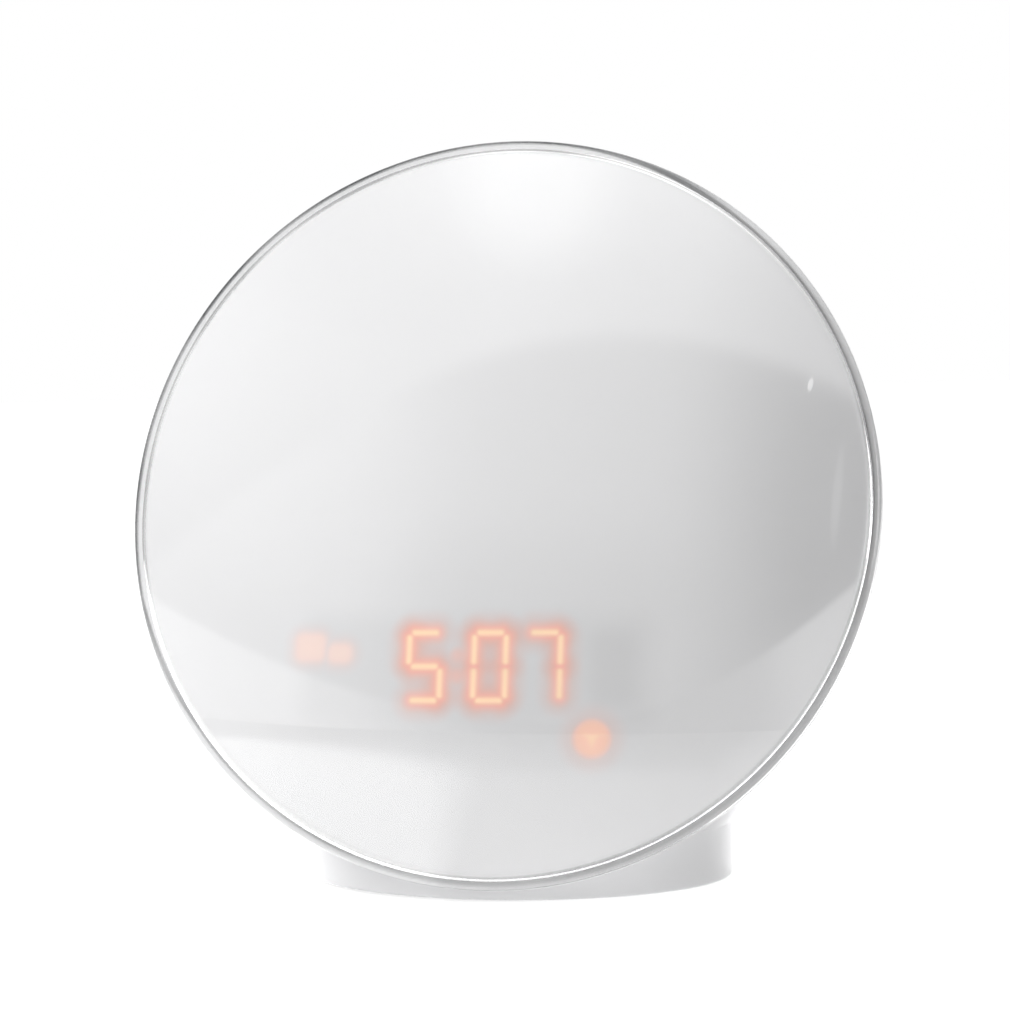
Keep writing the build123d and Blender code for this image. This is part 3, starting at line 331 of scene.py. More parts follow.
def triangle_distance(tree, point, centre, inner):
    """Distance outside a triangle that points down.

    It is the larger of y and |x| cos 30 - y / 2, both from the centre, less the inner radius.
    """
    moved = add(tree, "ShaderNodeVectorMath", {0: point, 1: (*centre, 0)}, operation="SUBTRACT")
    parts = add(tree, "ShaderNodeSeparateXYZ", {0: moved})
    across = add(tree, "ShaderNodeMath", {0: parts.outputs[0]}, operation="ABSOLUTE")
    leant = add(tree, "ShaderNodeMath", {0: parts.outputs[1], 1: -0.5}, operation="MULTIPLY")
    flank = add(tree, "ShaderNodeMath", {0: across, 1: cos(radians(30)), 2: leant}, operation="MULTIPLY_ADD")
    largest = gathered(tree, [flank, parts.outputs[1]], "MAXIMUM")
    return add(tree, "ShaderNodeMath", {0: largest, 1: inner}, operation="SUBTRACT")


def lit_strokes(sizes):
    """Centre and half length of each glowing stroke of the figures 5, 0 and 7."""
    side = sizes.figure_width / 2
    rise = sizes.stroke_rise
    tip = sizes.stroke_gap + sizes.stroke_width / 2
    across = (side - tip, 0)
    upright = (0, rise / 2 - tip)
    places = {"a": (0, rise), "g": (0, 0), "d": (0, -rise), "b": (side, rise / 2), "c": (side, -rise / 2),
              "e": (-side, -rise / 2), "f": (-side, rise / 2)}
    near = (sizes.figure_pitch + sizes.colon_space) / 2
    centres = (-near, near, near + sizes.figure_pitch)
    strokes = []
    for centre, letters in zip(centres, ("acdfg", "abcdef", "abc")):
        for letter in letters:
            dx, dy = places[letter]
            place = (sizes.colon_x + centre + dx, sizes.display_y + dy)
            strokes.append((place, across if letter in "agd" else upright))
    return strokes


def display_plane_point(tree):
    """Where the sight line from a reader's eye through a skin point meets the display's plane.

    The skin point goes to the face's frame; then x and y are scaled about the eye by the ratio of the
    eye's height above the display to its height above the skin point.
    """
    eye = FACE_AXES @ (VIEW_DISTANCE * towards_viewer(radians(VIEW_AZIMUTH), radians(VIEW_ELEVATION)))
    from_eye = add(tree, "ShaderNodeVectorMath", {0: face_point(tree), 1: tuple(eye)}, operation="SUBTRACT")
    parts = add(tree, "ShaderNodeSeparateXYZ", {0: from_eye})
    ratio = add(tree, "ShaderNodeMath", {0: DISPLAY_HEIGHT - eye[2], 1: parts.outputs[2]}, operation="DIVIDE")
    scaled = add(tree, "ShaderNodeVectorMath", {0: from_eye, "Scale": ratio}, operation="SCALE")
    back = add(tree, "ShaderNodeVectorMath", {0: scaled, 1: tuple(eye)}, operation="ADD")
    return add(tree, "ShaderNodeVectorMath", {0: back, 1: (1, 1, 0)}, operation="MULTIPLY")


def opal_polycarbonate(shown):
    """Opal polycarbonate, injection moulded: milky and smooth, so the display shows as soft figures.

    Each layer tints the skin and adds light where its mask is: first painted shade where the dark housing
    and tray lie behind, then the painted wide glow of indicator, signs, colon and strokes, and last the
    bright cores. The strokes' painted light also bleeds together: their wide glows are added up.
    """
    material, tree = new_material("opal_polycarbonate")
    sizes = in_millimetres(shown)
    point = display_plane_point(tree)

    def away_from(place, half=(0, 0)):
        """Distance from a box whose height is given from the figures' middle."""
        return box_distance(tree, point, (place[0], sizes.display_y + place[1]), half)

    strokes = [box_distance(tree, point, *stroke) for stroke in lit_strokes(sizes)]
    glows = [add(tree, "ShaderNodeMapRange", {0: away, 1: 0.4, 2: sizes.glow_reach, 3: 0.4, 4: 0.0},
                 interpolation_type="SMOOTHSTEP") for away in strokes]
    bleed = gathered(tree, glows, "ADD")
    core = gathered(tree, strokes, "MINIMUM")
    dots = gathered(tree, [away_from((sizes.colon_x, height)) for height in COLON_HEIGHTS], "MINIMUM")
    signs = gathered(tree, [away_from(*sign) for sign in LEFT_SIGNS], "MINIMUM")
    lamp_place = (sizes.indicator_x, sizes.display_y - sizes.indicator_drop)
    lamp = box_distance(tree, point, lamp_place, (0, 0))
    lamp_sign = triangle_distance(tree, point, lamp_place, INDICATOR_SIGN)
    housing, dark_end, tray = [away_from(*shade) for shade in (HOUSING_SHADE, DARK_END_SHADE, TRAY_SHADE)]

    # distance, where its mask is full and where it ends, colour, share of the skin's colour, light
    layers = (
        # painted shade where the tray, the housing and its dark end lie behind the diffuser
        (tray, 0.0, 30.0, shown.housing_shade_colour, 0.9 * shown.window_shade, 0.0),
        (housing, 0.0, 8.0, shown.housing_shade_colour, 0.9 * shown.window_shade, 0.0),
        (dark_end, 0.5, 6.5, shown.housing_shade_colour, shown.window_shade, 0.0),
        # painted glow: the display's light through the diffuser
        (lamp, 2.5, 9.0, shown.halo_colour, 0.3, 0.01),
        (signs, 0.0, 5.5, shown.halo_colour, 0.25, 0.02),
        (signs, 0.0, 3.4, shown.icon_colour, 0.7, 0.11),
        (dots, 0.2, 2.6, shown.halo_colour, 0.35, 0.05),
        (core, 0.2, 3.2, shown.halo_colour, 0.55, 0.11),
        (lamp, 2.8, 5.0, shown.lamp_colour, 0.75, 0.2),
        (core, 0.0, 1.3, shown.core_colour, 0.8, 0.14),
        (lamp_sign, -0.6, 1.3, shown.core_colour, 0.5, 0.07),
    )
    bleed_light = 0.05
    paint = add(tree, "ShaderNodeMix", {0: bleed, 6: (*shown.opal_colour, 1), 7: (*shown.halo_colour, 1)},
                data_type="RGBA").outputs[2]
    halo = tuple(channel * bleed_light * shown.glow for channel in shown.halo_colour)
    glow = add(tree, "ShaderNodeVectorMath", {0: halo, "Scale": bleed}, operation="SCALE")
    for away, near, far, tone, share, light in layers:
        mask = add(tree, "ShaderNodeMapRange", {0: away, 1: near, 2: far, 3: 1.0, 4: 0.0},
                   interpolation_type="SMOOTHSTEP")
        cover = add(tree, "ShaderNodeMath", {0: mask, 1: share}, operation="MULTIPLY")
        paint = add(tree, "ShaderNodeMix", {0: cover, 6: paint, 7: (*tone, 1)},
                    data_type="RGBA").outputs[2]
        if light:
            bright = tuple(channel * light * shown.glow for channel in tone)
            glow = add(tree, "ShaderNodeVectorMath", {0: bright, 1: mask, 2: glow},
                       operation="MULTIPLY_ADD")
    shader = add(tree, "ShaderNodeBsdfPrincipled", {
        "Base Color": paint, "Roughness": 0.16, "IOR": 1.58,
        "Emission Color": glow, "Emission Strength": 1.0})
    finish_material(tree, shader)
    return material


def gloss_abs(case):
    """White ABS from a polished mould: glossy, with the faint long ripple of moulded walls."""
    ripple_length = 16.0
    material, tree = new_material("gloss_abs")
    coords = add(tree, "ShaderNodeTexCoord")
    ripple = add(tree, "ShaderNodeTexNoise", {
        "Vector": coords.outputs["Object"], "Scale": 1000 / ripple_length, "Detail": 1.0})
    bump = add(tree, "ShaderNodeBump", {"Height": ripple, "Strength": 0.06, "Distance": 0.0006})
    shader = add(tree, "ShaderNodeBsdfPrincipled", {
        "Base Color": (*case.case_colour, 1), "Roughness": 0.34, "IOR": 1.53, "Normal": bump})
    finish_material(tree, shader)
    return material


def grained(name, colour, roughness, size, strength, metallic=0.0, stretch=(1, 1, 1), variation=0.12):
    """Plain stuff with a grain: noise of a size in millimetres shades the colour and lifts the surface.

    The grain is a quarter of its size deep, times the strength.
    """
    material, tree = new_material(name)
    coords = add(tree, "ShaderNodeTexCoord")
    stretched = add(tree, "ShaderNodeMapping", {"Vector": coords.outputs["Object"], "Scale": stretch})
    grain = add(tree, "ShaderNodeTexNoise", {"Vector": stretched, "Scale": 1000 / size, "Detail": 2.0})
    dark = tuple(channel * (1 - variation) for channel in colour[:3])
    even = add(tree, "ShaderNodeMapRange", {0: grain, 1: NOISE_LOW, 2: NOISE_HIGH})
    shade = add(tree, "ShaderNodeMix", {0: even, 6: (*dark, 1), 7: (*colour[:3], 1)}, data_type="RGBA")
    bump = add(tree, "ShaderNodeBump", {"Height": grain, "Strength": strength, "Distance": size / 4000})
    shader = add(tree, "ShaderNodeBsdfPrincipled", {
        "Base Color": shade.outputs[2], "Roughness": roughness, "Metallic": metallic, "Normal": bump})
    finish_material(tree, shader)
    return material


def solder_mask(name, colour, land_colour):
    """Solder mask printed over copper: glossy, with paler lands 4 mm apart showing through."""
    land_pitch = 4.0
    land_start = 0.42  # share of the pitch from a cell's middle
    material, tree = new_material(name)
    coords = add(tree, "ShaderNodeTexCoord")
    cells = add(tree, "ShaderNodeTexVoronoi", {
        "Vector": coords.outputs["Object"], "Scale": 1000 / land_pitch}, distance="CHEBYCHEV", feature="F1")
    lands = add(tree, "ShaderNodeMath", {0: cells.outputs["Distance"], 1: land_start},
                operation="GREATER_THAN")
    shade = add(tree, "ShaderNodeMix", {0: lands, 6: linear(colour), 7: linear(land_colour)},
                data_type="RGBA").outputs[2]
    shader = add(tree, "ShaderNodeBsdfPrincipled", {"Base Color": shade, "Roughness": 0.3})
    finish_material(tree, shader)
    return material


def cast_epoxy(name, colour, strength):
    """Translucent epoxy cast over a lamp chip: slightly glossy, glowing with clouds about 1 mm across."""
    cloud_size = 1.1
    dimming = 0.8  # brightness of a cloud's dark side
    material, tree = new_material(name)
    coords = add(tree, "ShaderNodeTexCoord")
    cloud = add(tree, "ShaderNodeTexNoise", {"Vector": coords.outputs["Object"], "Scale": 1000 / cloud_size})
    full = linear(colour)
    dim = tuple(channel * dimming for channel in full[:3])
    shade = add(tree, "ShaderNodeMix", {0: cloud, 6: (*dim, 1), 7: full}, data_type="RGBA").outputs[2]
    shader = add(tree, "ShaderNodeBsdfPrincipled", {
        "Base Color": shade, "Roughness": 0.25, "Emission Color": shade, "Emission Strength": strength})
    finish_material(tree, shader)
    return material


# ---- settings ----
def length(name, text, millimetres):
    """Length property, given in millimetres."""
    return bpy.props.FloatProperty(name=name, description=text, default=millimetres / 1000, precision=5,
                                   unit="LENGTH")


def colour(name, text, default):
    """Colour property from an sRGB hex code."""
    return bpy.props.FloatVectorProperty(name=name, description=text, default=linear(default)[:3], size=3,
                                         subtype="COLOR", min=0.0, max=1.0)


def angle(name, text, degrees):
    """Angle property, given in degrees."""
    return bpy.props.FloatProperty(name=name, description=text, default=radians(degrees), unit="ROTATION")


class FaceSettings(bpy.types.PropertyGroup):
    """Clear cover and milky diffuser."""

    radius: length("Radius", "Outer radius of the face", 84.0)
    sphere: length("Dome sphere", "Radius of the sphere the cover's outside belongs to", 259.0)
    bulge: length("Bulge", "Height of the dome above the rim", 14.0)
    cover_wall: length("Cover wall", "Thickness of the clear dome", 2.2)
    rim_wall: length("Rim wall", "Thickness of the clear rim", 2.3)
    rim_round: length("Rim round", "Radius of the rim's outer edge", 2.0)
    skirt: length("Skirt", "Clear edge behind the rim plane", 2.6)
    gap: length("Gap", "Air between cover and diffuser", 0.3)
    edge_gap: length("Edge gap", "Air round the diffuser's edge", 0.08)
    diffuser_wall: length("Diffuser wall", "Thickness of the diffuser", 1.5)
    diffuser_edge: length("Diffuser edge", "Depth of the diffuser's edge behind the rim plane", 4.4)


class DisplaySettings(bpy.types.PropertyGroup):
    """Figures that glow through the face."""

    colon_x: length("Colon place", "Sideways place of the colon", -7.2)
    display_y: length("Figure height", "Place of the figures' middle up the face", -36.0)
    figure_pitch: length("Figure pitch", "Distance between neighbouring figures", 12.0)
    colon_space: length("Colon space", "Extra room at the colon", 2.5)
    figure_width: length("Figure width", "Between the left and right strokes", 7.0)
    stroke_rise: length("Stroke rise", "Between the middle and top strokes", 7.4)
    stroke_width: length("Stroke width", "Width of a stroke", 1.3)
    stroke_gap: length("Stroke gap", "Gap at the end of a stroke", 0.5)
    glow_reach: length("Glow reach", "How far a stroke's light spreads in the diffuser", 6.0)
    indicator_x: length("Indicator place", "Sideways place of the indicator lamp", 22.9)
    indicator_drop: length("Indicator drop", "Indicator lamp below the figures' middle", 15.5)
    glow: bpy.props.FloatProperty(name="Glow", description="Brightness of the figures", default=1.0,
                                  min=0.0)
    window_shade: bpy.props.FloatProperty(
        name="Window shade", description="How dark the display's housing shows through the face",
        subtype="FACTOR", default=0.1, min=0.0, max=1.0)
    opal_colour: colour("Opal colour", "Milky plastic of the diffuser", "#F2F2F3")
    housing_shade_colour: colour("Housing colour", "Display housing behind the diffuser", "#7C7C7E")
    core_colour: colour("Core colour", "Middle of a glowing stroke", "#FFDDB0")
    halo_colour: colour("Halo colour", "Soft edge round a stroke", "#FFAC92")
    lamp_colour: colour("Lamp colour", "Round indicator lamp", "#FFC2A4")
    icon_colour: colour("Icon colour", "Faint signs left of the figures", "#FFDFD2")


class CaseSettings(bpy.types.PropertyGroup):
    """White case and its keys."""

    case_colour: colour("Case colour", "White plastic of the case", "#F3F3F4")
    key_colour: colour("Key colour", "Plastic of the keys", "#E4E4E6")
    mark_colour: colour("Mark colour", "Printed signs on the keys", "#7D8086")


class StageSettings(bpy.types.PropertyGroup):
    """Camera, floor and light."""

    azimuth: angle("Azimuth", "Camera's turn towards +X", VIEW_AZIMUTH)
    elevation: angle("Elevation", "Camera's rise", VIEW_ELEVATION)
    roll: angle("Roll", "Camera's roll", 1.52)
    distance: length("Distance", "From the camera to the face's middle", VIEW_DISTANCE)
    focal: bpy.props.FloatProperty(name="Focal length", description="For a sensor 36 mm wide", default=97.52,
                                   subtype="DISTANCE_CAMERA")
    key_power: bpy.props.FloatProperty(name="Key power", description="Soft lamp at the left", unit="POWER",
                                       default=8.2)
    ambient: bpy.props.FloatProperty(name="Ambient", description="Even light from all round", default=1.0)


class ClockSettings(bpy.types.PropertyGroup):
    """All settings of the clock."""

    face: bpy.props.PointerProperty(type=FaceSettings)
    display: bpy.props.PointerProperty(type=DisplaySettings)
    case: bpy.props.PointerProperty(type=CaseSettings)
    stage: bpy.props.PointerProperty(type=StageSettings)


# ---- pieces ----
def cover_outline(face):
    """Outline of the clear cover: outer dome, rim round, skirt, bore and inner dome.

    The rim round touches the outer dome where both have the same slope: its middle lies on a sphere
    smaller by the round's radius.
    """
    skirt_round = 0.35
    centre = face.bulge - face.sphere
    bore = face.radius - face.rim_wall
    middle = face.radius - face.rim_round
    reach = face.sphere - face.rim_round
    rise = np.sqrt(reach ** 2 - middle ** 2)
    slope = float(np.degrees(np.arctan2(rise, middle)))
    foot = -face.skirt + skirt_round
    return np.vstack([
        dome(face.sphere, centre, 0.0, middle * face.sphere / reach),
        arc((middle, centre + rise), face.rim_round, slope, 0, 16)[1:],
        arc((face.radius - skirt_round, foot), skirt_round, 0, -90, 6),
        arc((bore + skirt_round, foot), skirt_round, -90, -180, 6),
        dome(face.sphere - face.cover_wall, centre, 0.0, bore)[::-1],
    ])


def diffuser_outline(face):
    """Outline of the milky dome with its straight edge band, rounded where they meet."""
    edge_round = 0.15
    centre = face.bulge - face.sphere
    skin = face.sphere - face.cover_wall - face.gap
    edge = face.radius - face.rim_wall - face.edge_gap
    inside = edge - face.diffuser_wall
    middle = edge - edge_round
    reach = skin - edge_round
    rise = np.sqrt(reach ** 2 - middle ** 2)
    slope = float(np.degrees(np.arctan2(rise, middle)))
    return np.vstack([
        dome(skin, centre, 0.0, middle * skin / reach),
        arc((middle, centre + rise), edge_round, slope, 0, 8)[1:],
        ((edge, -face.diffuser_edge), (inside, -face.diffuser_edge)),
        dome(skin - face.diffuser_wall, centre, 0.0, inside)[::-1],
    ])


def bar(start, end, width):
    """Four corners of a straight bar between two points."""
    start, end = np.array(start, float), np.array(end, float)
    along = (end - start) / np.linalg.norm(end - start)
    side = np.array((-along[1], along[0])) * width / 2
    return np.array([start - side, end - side, end + side, start + side])


def ring(outer, inner, pieces=4):
    """A ring about the middle as closed sectors: an outer arc one way and an inner arc back."""
    step = 360 / pieces
    return [np.vstack([arc((0, 0), outer, k * step, (k + 1) * step, 10),
                       arc((0, 0), inner, (k + 1) * step, k * step, 10)]) for k in range(pieces)]


def disc(centre, radius):
    """Outline of a disc, with 24 corners."""
    return arc(centre, radius, 0, 345, 24)


def horn(x):
    """Outline of a small loudspeaker sign: a square body with a flared mouth, about x."""
    back, neck, mouth = x - 1.6, x - 0.8, x + 0.4
    body, flare = 0.6, 1.6
    return np.array([(back, -body), (neck, -body), (mouth, -flare), (mouth, flare), (neck, body),
                     (back, body)])


def sun(radius, reach):
    """A disc with eight rays, which start at one and a half times its radius."""
    rays = []
    for turn in np.radians(np.arange(0, 360, 45)):
        way = np.array((cos(turn), sin(turn)))
        rays.append(bar(1.5 * radius * way, reach * way, SIGN_LINE))
    return [disc((0, 0), radius), *rays]


def key_signs():
    """Outlines of the sign on each key, in millimetres as seen from behind."""
    minus = [bar((1.4, 0), (3.0, 0), SIGN_BOLD_LINE)]
    plus = [*minus, bar((2.2, 0.2), (2.2, 0.8), SIGN_BOLD_LINE),
            bar((2.2, -0.8), (2.2, -0.2), SIGN_BOLD_LINE)]
    bell = np.vstack([arc((0, 0.2), 1.3, 0, 180, 16), [(-1.8, -1.3), (1.8, -1.3)]])
    hands = [bar((0, 0), (0, 1.1), SIGN_LINE), bar((0.2, 0), (0.9, 0), SIGN_LINE)]
    return {
        "light": sun(0.8, 2.0),
        "brightness_up": [np.array([(-1.6, -1.0), (1.6, -1.0), (0.0, 1.5)])],
        "brightness_down": [np.array([(1.6, 1.0), (-1.6, 1.0), (0.0, -1.5)])],
        "colour": [disc(place, 0.75) for place in ((-1.1, -0.7), (1.1, -0.7), (0.0, 1.1))],
        "alarm": [bell, arc((0, -1.8), 0.4, 0, 345, 16)],
        "time_set": [*ring(1.9, 1.5), *hands],
        "volume_up": [horn(-0.6), *plus],
        "volume_down": [horn(-0.6), *minus],
    }


class ALARM_CLOCK_OT_cover(bpy.types.Operator):
    """Build the clear domed cover."""

    bl_idname = "alarm_clock.cover"
    bl_label = "Clear cover"

    def execute(self, context):
        sizes = in_millimetres(context.scene.alarm_clock.face)
        points, faces = turned(cover_outline(sizes), ROUND_STEPS)
        made = piece("clear_cover", placed(points), faces, polished_acrylic(sizes), "case")
        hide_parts("front_cover")
        return {"FINISHED"}


class ALARM_CLOCK_OT_diffuser(bpy.types.Operator):
    """Build the milky diffuser with the light of the display on it."""

    bl_idname = "alarm_clock.diffuser"
    bl_label = "Milky diffuser"

    def execute(self, context):
        settings = context.scene.alarm_clock
        points, faces = turned(diffuser_outline(in_millimetres(settings.face)), ROUND_STEPS)
        opal = opal_polycarbonate(settings.display)
        made = piece("milky_diffuser", placed(points), faces, opal, "case")
        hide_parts("diffuser")
        return {"FINISHED"}


class ALARM_CLOCK_OT_case(bpy.types.Operator):
    """Finish the case, bottom cover and feet."""

    bl_idname = "alarm_clock.case"
    bl_label = "Case finish"

    def execute(self, context):
        dress(gloss_abs(context.scene.alarm_clock.case), "rear_shell", "base_plate")
        # moulded thermoplastic rubber: dull, with a coarse grain
        dress(grained("moulded_rubber", linear("#77797C"), 0.85, 0.5, 0.4), "rubber_feet")
        return {"FINISHED"}


class ALARM_CLOCK_OT_keys(bpy.types.Operator):
    """Finish the keys and print a sign on each."""

    bl_idname = "alarm_clock.keys"
    bl_label = "Keys and signs"

    def execute(self, context):
        case = context.scene.alarm_clock.case
        # satin ABS from a spark-eroded mould: a fine matt grain
        satin = grained("satin_abs", case.key_colour, 0.45, 0.35, 0.25, variation=0.04)
        # pad-printed ink: dull grey, slightly uneven
        ink = grained("pad_printed_ink", case.mark_colour, 0.6, 0.3, 0.1, variation=0.08)
        for name, outlines in key_signs().items():
            node = "key_" + name
            dress(satin, node)
            low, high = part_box(node)
            middle = FACE_AXES @ (np.array((low + high) / 2) * 1000 - FACE_CENTRE)
            seen = [middle[:2] + outline * (-1, 1) for outline in outlines]
            points, faces = slabs(seen, KEY_BACK - INK, KEY_BACK + INK)
            piece("sign_" + name, placed(points), faces, ink, node, smooth=False)
        return {"FINISHED"}


class ALARM_CLOCK_OT_inside(bpy.types.Operator):
    """Finish the pieces inside the case."""

    bl_idname = "alarm_clock.inside"
    bl_label = "Inner pieces"

    def execute(self, context):
        plungers = [name for name in frame["nodes"] if name.startswith("plunger_")]
        screws = [name for name in frame["nodes"] if name.endswith("_screws")]
        # highly filled white ABS: matt, it throws the lamps' light forward
        dress(grained("reflector_abs", linear("#F1F1F1"), 0.7, 0.6, 0.1, variation=0.03), "light_tray")
        dress(solder_mask("white_solder_mask", "#E6E8E6", "#D9DBD6"), "led_board")
        dress(solder_mask("green_solder_mask", "#17502C", "#1F6238"), "display_board", "main_board",
              "key_board_left", "key_board_right", "power_board")
        dress(cast_epoxy("phosphor_chip", "#F4E7A8", 0.05), "led_chips")
        # moulded filled polycarbonate: grey and dull, it keeps the figures' light apart
        dress(grained("display_housing", linear("#A9A9AB"), 0.6, 0.5, 0.15), "display_module")
        dress(cast_epoxy("lit_tile", "#FF7A3C", 1.5), "display_lit_segments")
        dress(cast_epoxy("dark_tile", "#C9C6C4", 0.0), "display_dark_segments")
        dress(cast_epoxy("indicator_tile", "#FFB078", 1.2), "indicator_lamp", "indicator_lens")
        # moulded white acetal: faintly waxy
        dress(grained("sleeve_acetal", linear("#D8D8D8"), 0.5, 0.5, 0.1), "indicator_sleeve")
        # transfer-moulded black epoxy and nylon: dull with a fine grit
        dress(grained("black_moulding", linear("#1B1B1D"), 0.5, 0.3, 0.3), "main_chips", "key_switches",
              "cell_holder", "dc_jack", *plungers)
        # moulded nylon: cream and slightly waxy
        dress(grained("cream_nylon", linear("#E2DAC4"), 0.5, 0.5, 0.1), "wire_connectors")
        # drawn aluminium can: fine lines along the can
        dress(grained("drawn_aluminium", linear("#C9CBCE"), 0.35, 0.4, 0.1, 1.0, (1, 1, 8)), "capacitors",
              "power_capacitors")
        # nickel plate on pressed steel: bright with a slight yellow tone
        dress(grained("nickel_plate", linear("#BDBDB6"), 0.25, 0.5, 0.08, 1.0), "coin_cell")
        # zinc plate on cold-headed steel: bluish grey and half dull
        dress(grained("zinc_plate", linear("#9FA1A4"), 0.35, 0.4, 0.15, 1.0), *screws)
        # laminated polyester film: smooth and off-white
        dress(grained("ribbon_film", linear("#DEDDD4"), 0.4, 1.0, 0.1), "display_ribbon")
        # closed-cell foam: black and crumbly
        dress(grained("closed_cell_foam", linear("#202022"), 0.95, 0.5, 0.8), "speaker_gasket")
        # black enamel baked on pressed steel: smooth and half glossy
        dress(grained("black_enamel", linear("#17181A"), 0.35, 0.6, 0.1), "speaker_frame")
        # sintered ferrite: dark grey and stony
        dress(grained("ferrite", linear("#333436"), 0.6, 0.5, 0.3), "speaker_magnet")
        # pressed paper pulp: black with fibres 0.8 mm long
        dress(grained("paper_pulp", linear("#222224"), 0.9, 0.8, 0.6), "speaker_cone")
        # rolled copper foil: warm and bright
        dress(grained("copper_foil", linear("#C9814F"), 0.3, 0.8, 0.1, 1.0), "touch_pad")
        return {"FINISHED"}


# ---- studio ----
def parabola(tree, x, middle, curve, height):
    """Height of an edge along x: height plus curve times the square of x less middle."""
    aside = add(tree, "ShaderNodeMath", {0: x, 1: middle}, operation="SUBTRACT")
    square = add(tree, "ShaderNodeMath", {0: aside, 1: aside}, operation="MULTIPLY")
    return add(tree, "ShaderNodeMath", {0: square, 1: curve, 2: height}, operation="MULTIPLY_ADD")


def spot(tree, x, z, place, half, level):
    """Soft oval lamp: full within 0.3 of its half size and nothing past it."""
    flat = add(tree, "ShaderNodeCombineXYZ", {0: x, 1: z})
    away = add(tree, "ShaderNodeVectorMath", {0: flat, 1: (*place, 0)}, operation="SUBTRACT")
    scaled = add(tree, "ShaderNodeVectorMath", {0: away, 1: (*half, 1)}, operation="DIVIDE")
    reach = add(tree, "ShaderNodeVectorMath", {0: scaled}, operation="LENGTH").outputs["Value"]
    return add(tree, "ShaderNodeMapRange", {0: reach, 1: 0.3, 2: 1.0, 3: level, 4: 0.0},
               interpolation_type="SMOOTHSTEP")


def mirrored_room(tree, x, y, z):
    """Level that glossy pieces mirror from the direction (x, y, z).

    In front are a wall that is bright at the left, the table below its far edge, a softbox above its
    near edge and the lamps. Behind is a plain room, a little darker beside the white backdrop.
    """
    wall_level = 1.22
    left = add(tree, "ShaderNodeMapRange", {0: x, 1: 0.44, 2: 0.1}, interpolation_type="SMOOTHSTEP")
    far_left = add(tree, "ShaderNodeMapRange", {0: x, 1: -0.15, 2: -0.6}, interpolation_type="SMOOTHSTEP")
    wall = add(tree, "ShaderNodeMath", {0: left, 1: wall_level}, operation="MULTIPLY")

    # the table's far edge curves up on both sides, and more on the right
    curve = add(tree, "ShaderNodeMapRange", {0: x, 1: -0.2, 2: 0.1, 3: 0.31, 4: 0.79})
    past_table = add(tree, "ShaderNodeMath", {0: z, 1: parabola(tree, x, -0.07, curve, 0.017)},
                     operation="SUBTRACT")
    on_table = add(tree, "ShaderNodeMapRange", {0: past_table, 1: 0.012, 2: -0.012},
                   interpolation_type="SMOOTHSTEP")
    table_right = add(tree, "ShaderNodeMapRange", {0: x, 1: 0.3, 2: 0.42, 3: 0.95, 4: 1.6},
                      interpolation_type="SMOOTHSTEP")
    table = add(tree, "ShaderNodeMath", {0: far_left, 1: 1.1, 2: table_right}, operation="MULTIPLY_ADD")

    # the softbox's near edge curves down on both sides
    past_softbox = add(tree, "ShaderNodeMath", {0: z, 1: parabola(tree, x, 0.03, -0.66, 0.724)},
                       operation="SUBTRACT")
    on_softbox = add(tree, "ShaderNodeMapRange", {0: past_softbox, 1: -0.02, 2: 0.02},
                     interpolation_type="SMOOTHSTEP")
    rising = add(tree, "ShaderNodeMapRange", {0: z, 1: 0.75, 2: 1.0, 3: wall_level, 4: 1.75},
                 interpolation_type="SMOOTHSTEP")
    brighter_left = add(tree, "ShaderNodeMath", {0: left, 1: 0.7, 2: rising}, operation="MULTIPLY_ADD")
    softbox = add(tree, "ShaderNodeMath", {0: far_left, 1: -0.95, 2: brighter_left},
                  operation="MULTIPLY_ADD")

    wall_and_table = add(tree, "ShaderNodeMix", {0: on_table, 2: wall, 3: table})
    plain_front = add(tree, "ShaderNodeMix", {0: on_softbox, 2: wall_and_table, 3: softbox})
    lamps = [spot(tree, x, z, *lamp) for lamp in MIRRORED_LAMPS]
    front = gathered(tree, [plain_front, *lamps], "ADD")
    room = add(tree, "ShaderNodeMapRange", {0: y, 1: 0.7, 2: 0.9, 3: 0.7, 4: 1.0},
               interpolation_type="SMOOTHSTEP")
    behind = add(tree, "ShaderNodeMapRange", {0: y, 1: 0.1, 2: 0.3}, interpolation_type="SMOOTHSTEP")
    return add(tree, "ShaderNodeMix", {0: behind, 2: front, 3: room})


def matt_light(tree, x, y, z):
    """Level that lights matt surfaces from the direction (x, y, z).

    In front it is bright from the left, dim from the right and bright again from the far right.
    Behind it grows towards the right and falls off upwards.
    """
    from_left = add(tree, "ShaderNodeMapRange", {0: x, 1: -0.9, 2: 0.6, 3: 1.18, 4: 0.0})
    far_right = add(tree, "ShaderNodeMapRange", {0: x, 1: 0.75, 2: 0.95, 3: 0.0, 4: 1.06},
                    interpolation_type="SMOOTHSTEP")
    front = gathered(tree, [from_left, far_right], "MAXIMUM")
    rightward = add(tree, "ShaderNodeMapRange", {0: x, 1: -0.5, 2: 0.9, 3: 0.75, 4: 1.75})
    upward = add(tree, "ShaderNodeMapRange", {0: z, 1: 0.25, 2: 0.75, 3: 1.0, 4: 0.35})
    rear = add(tree, "ShaderNodeMath", {0: rightward, 1: upward}, operation="MULTIPLY")
    behind = add(tree, "ShaderNodeMapRange", {0: y, 1: -0.05, 2: 0.25}, interpolation_type="SMOOTHSTEP")
    return add(tree, "ShaderNodeMix", {0: behind, 2: front, 3: rear})


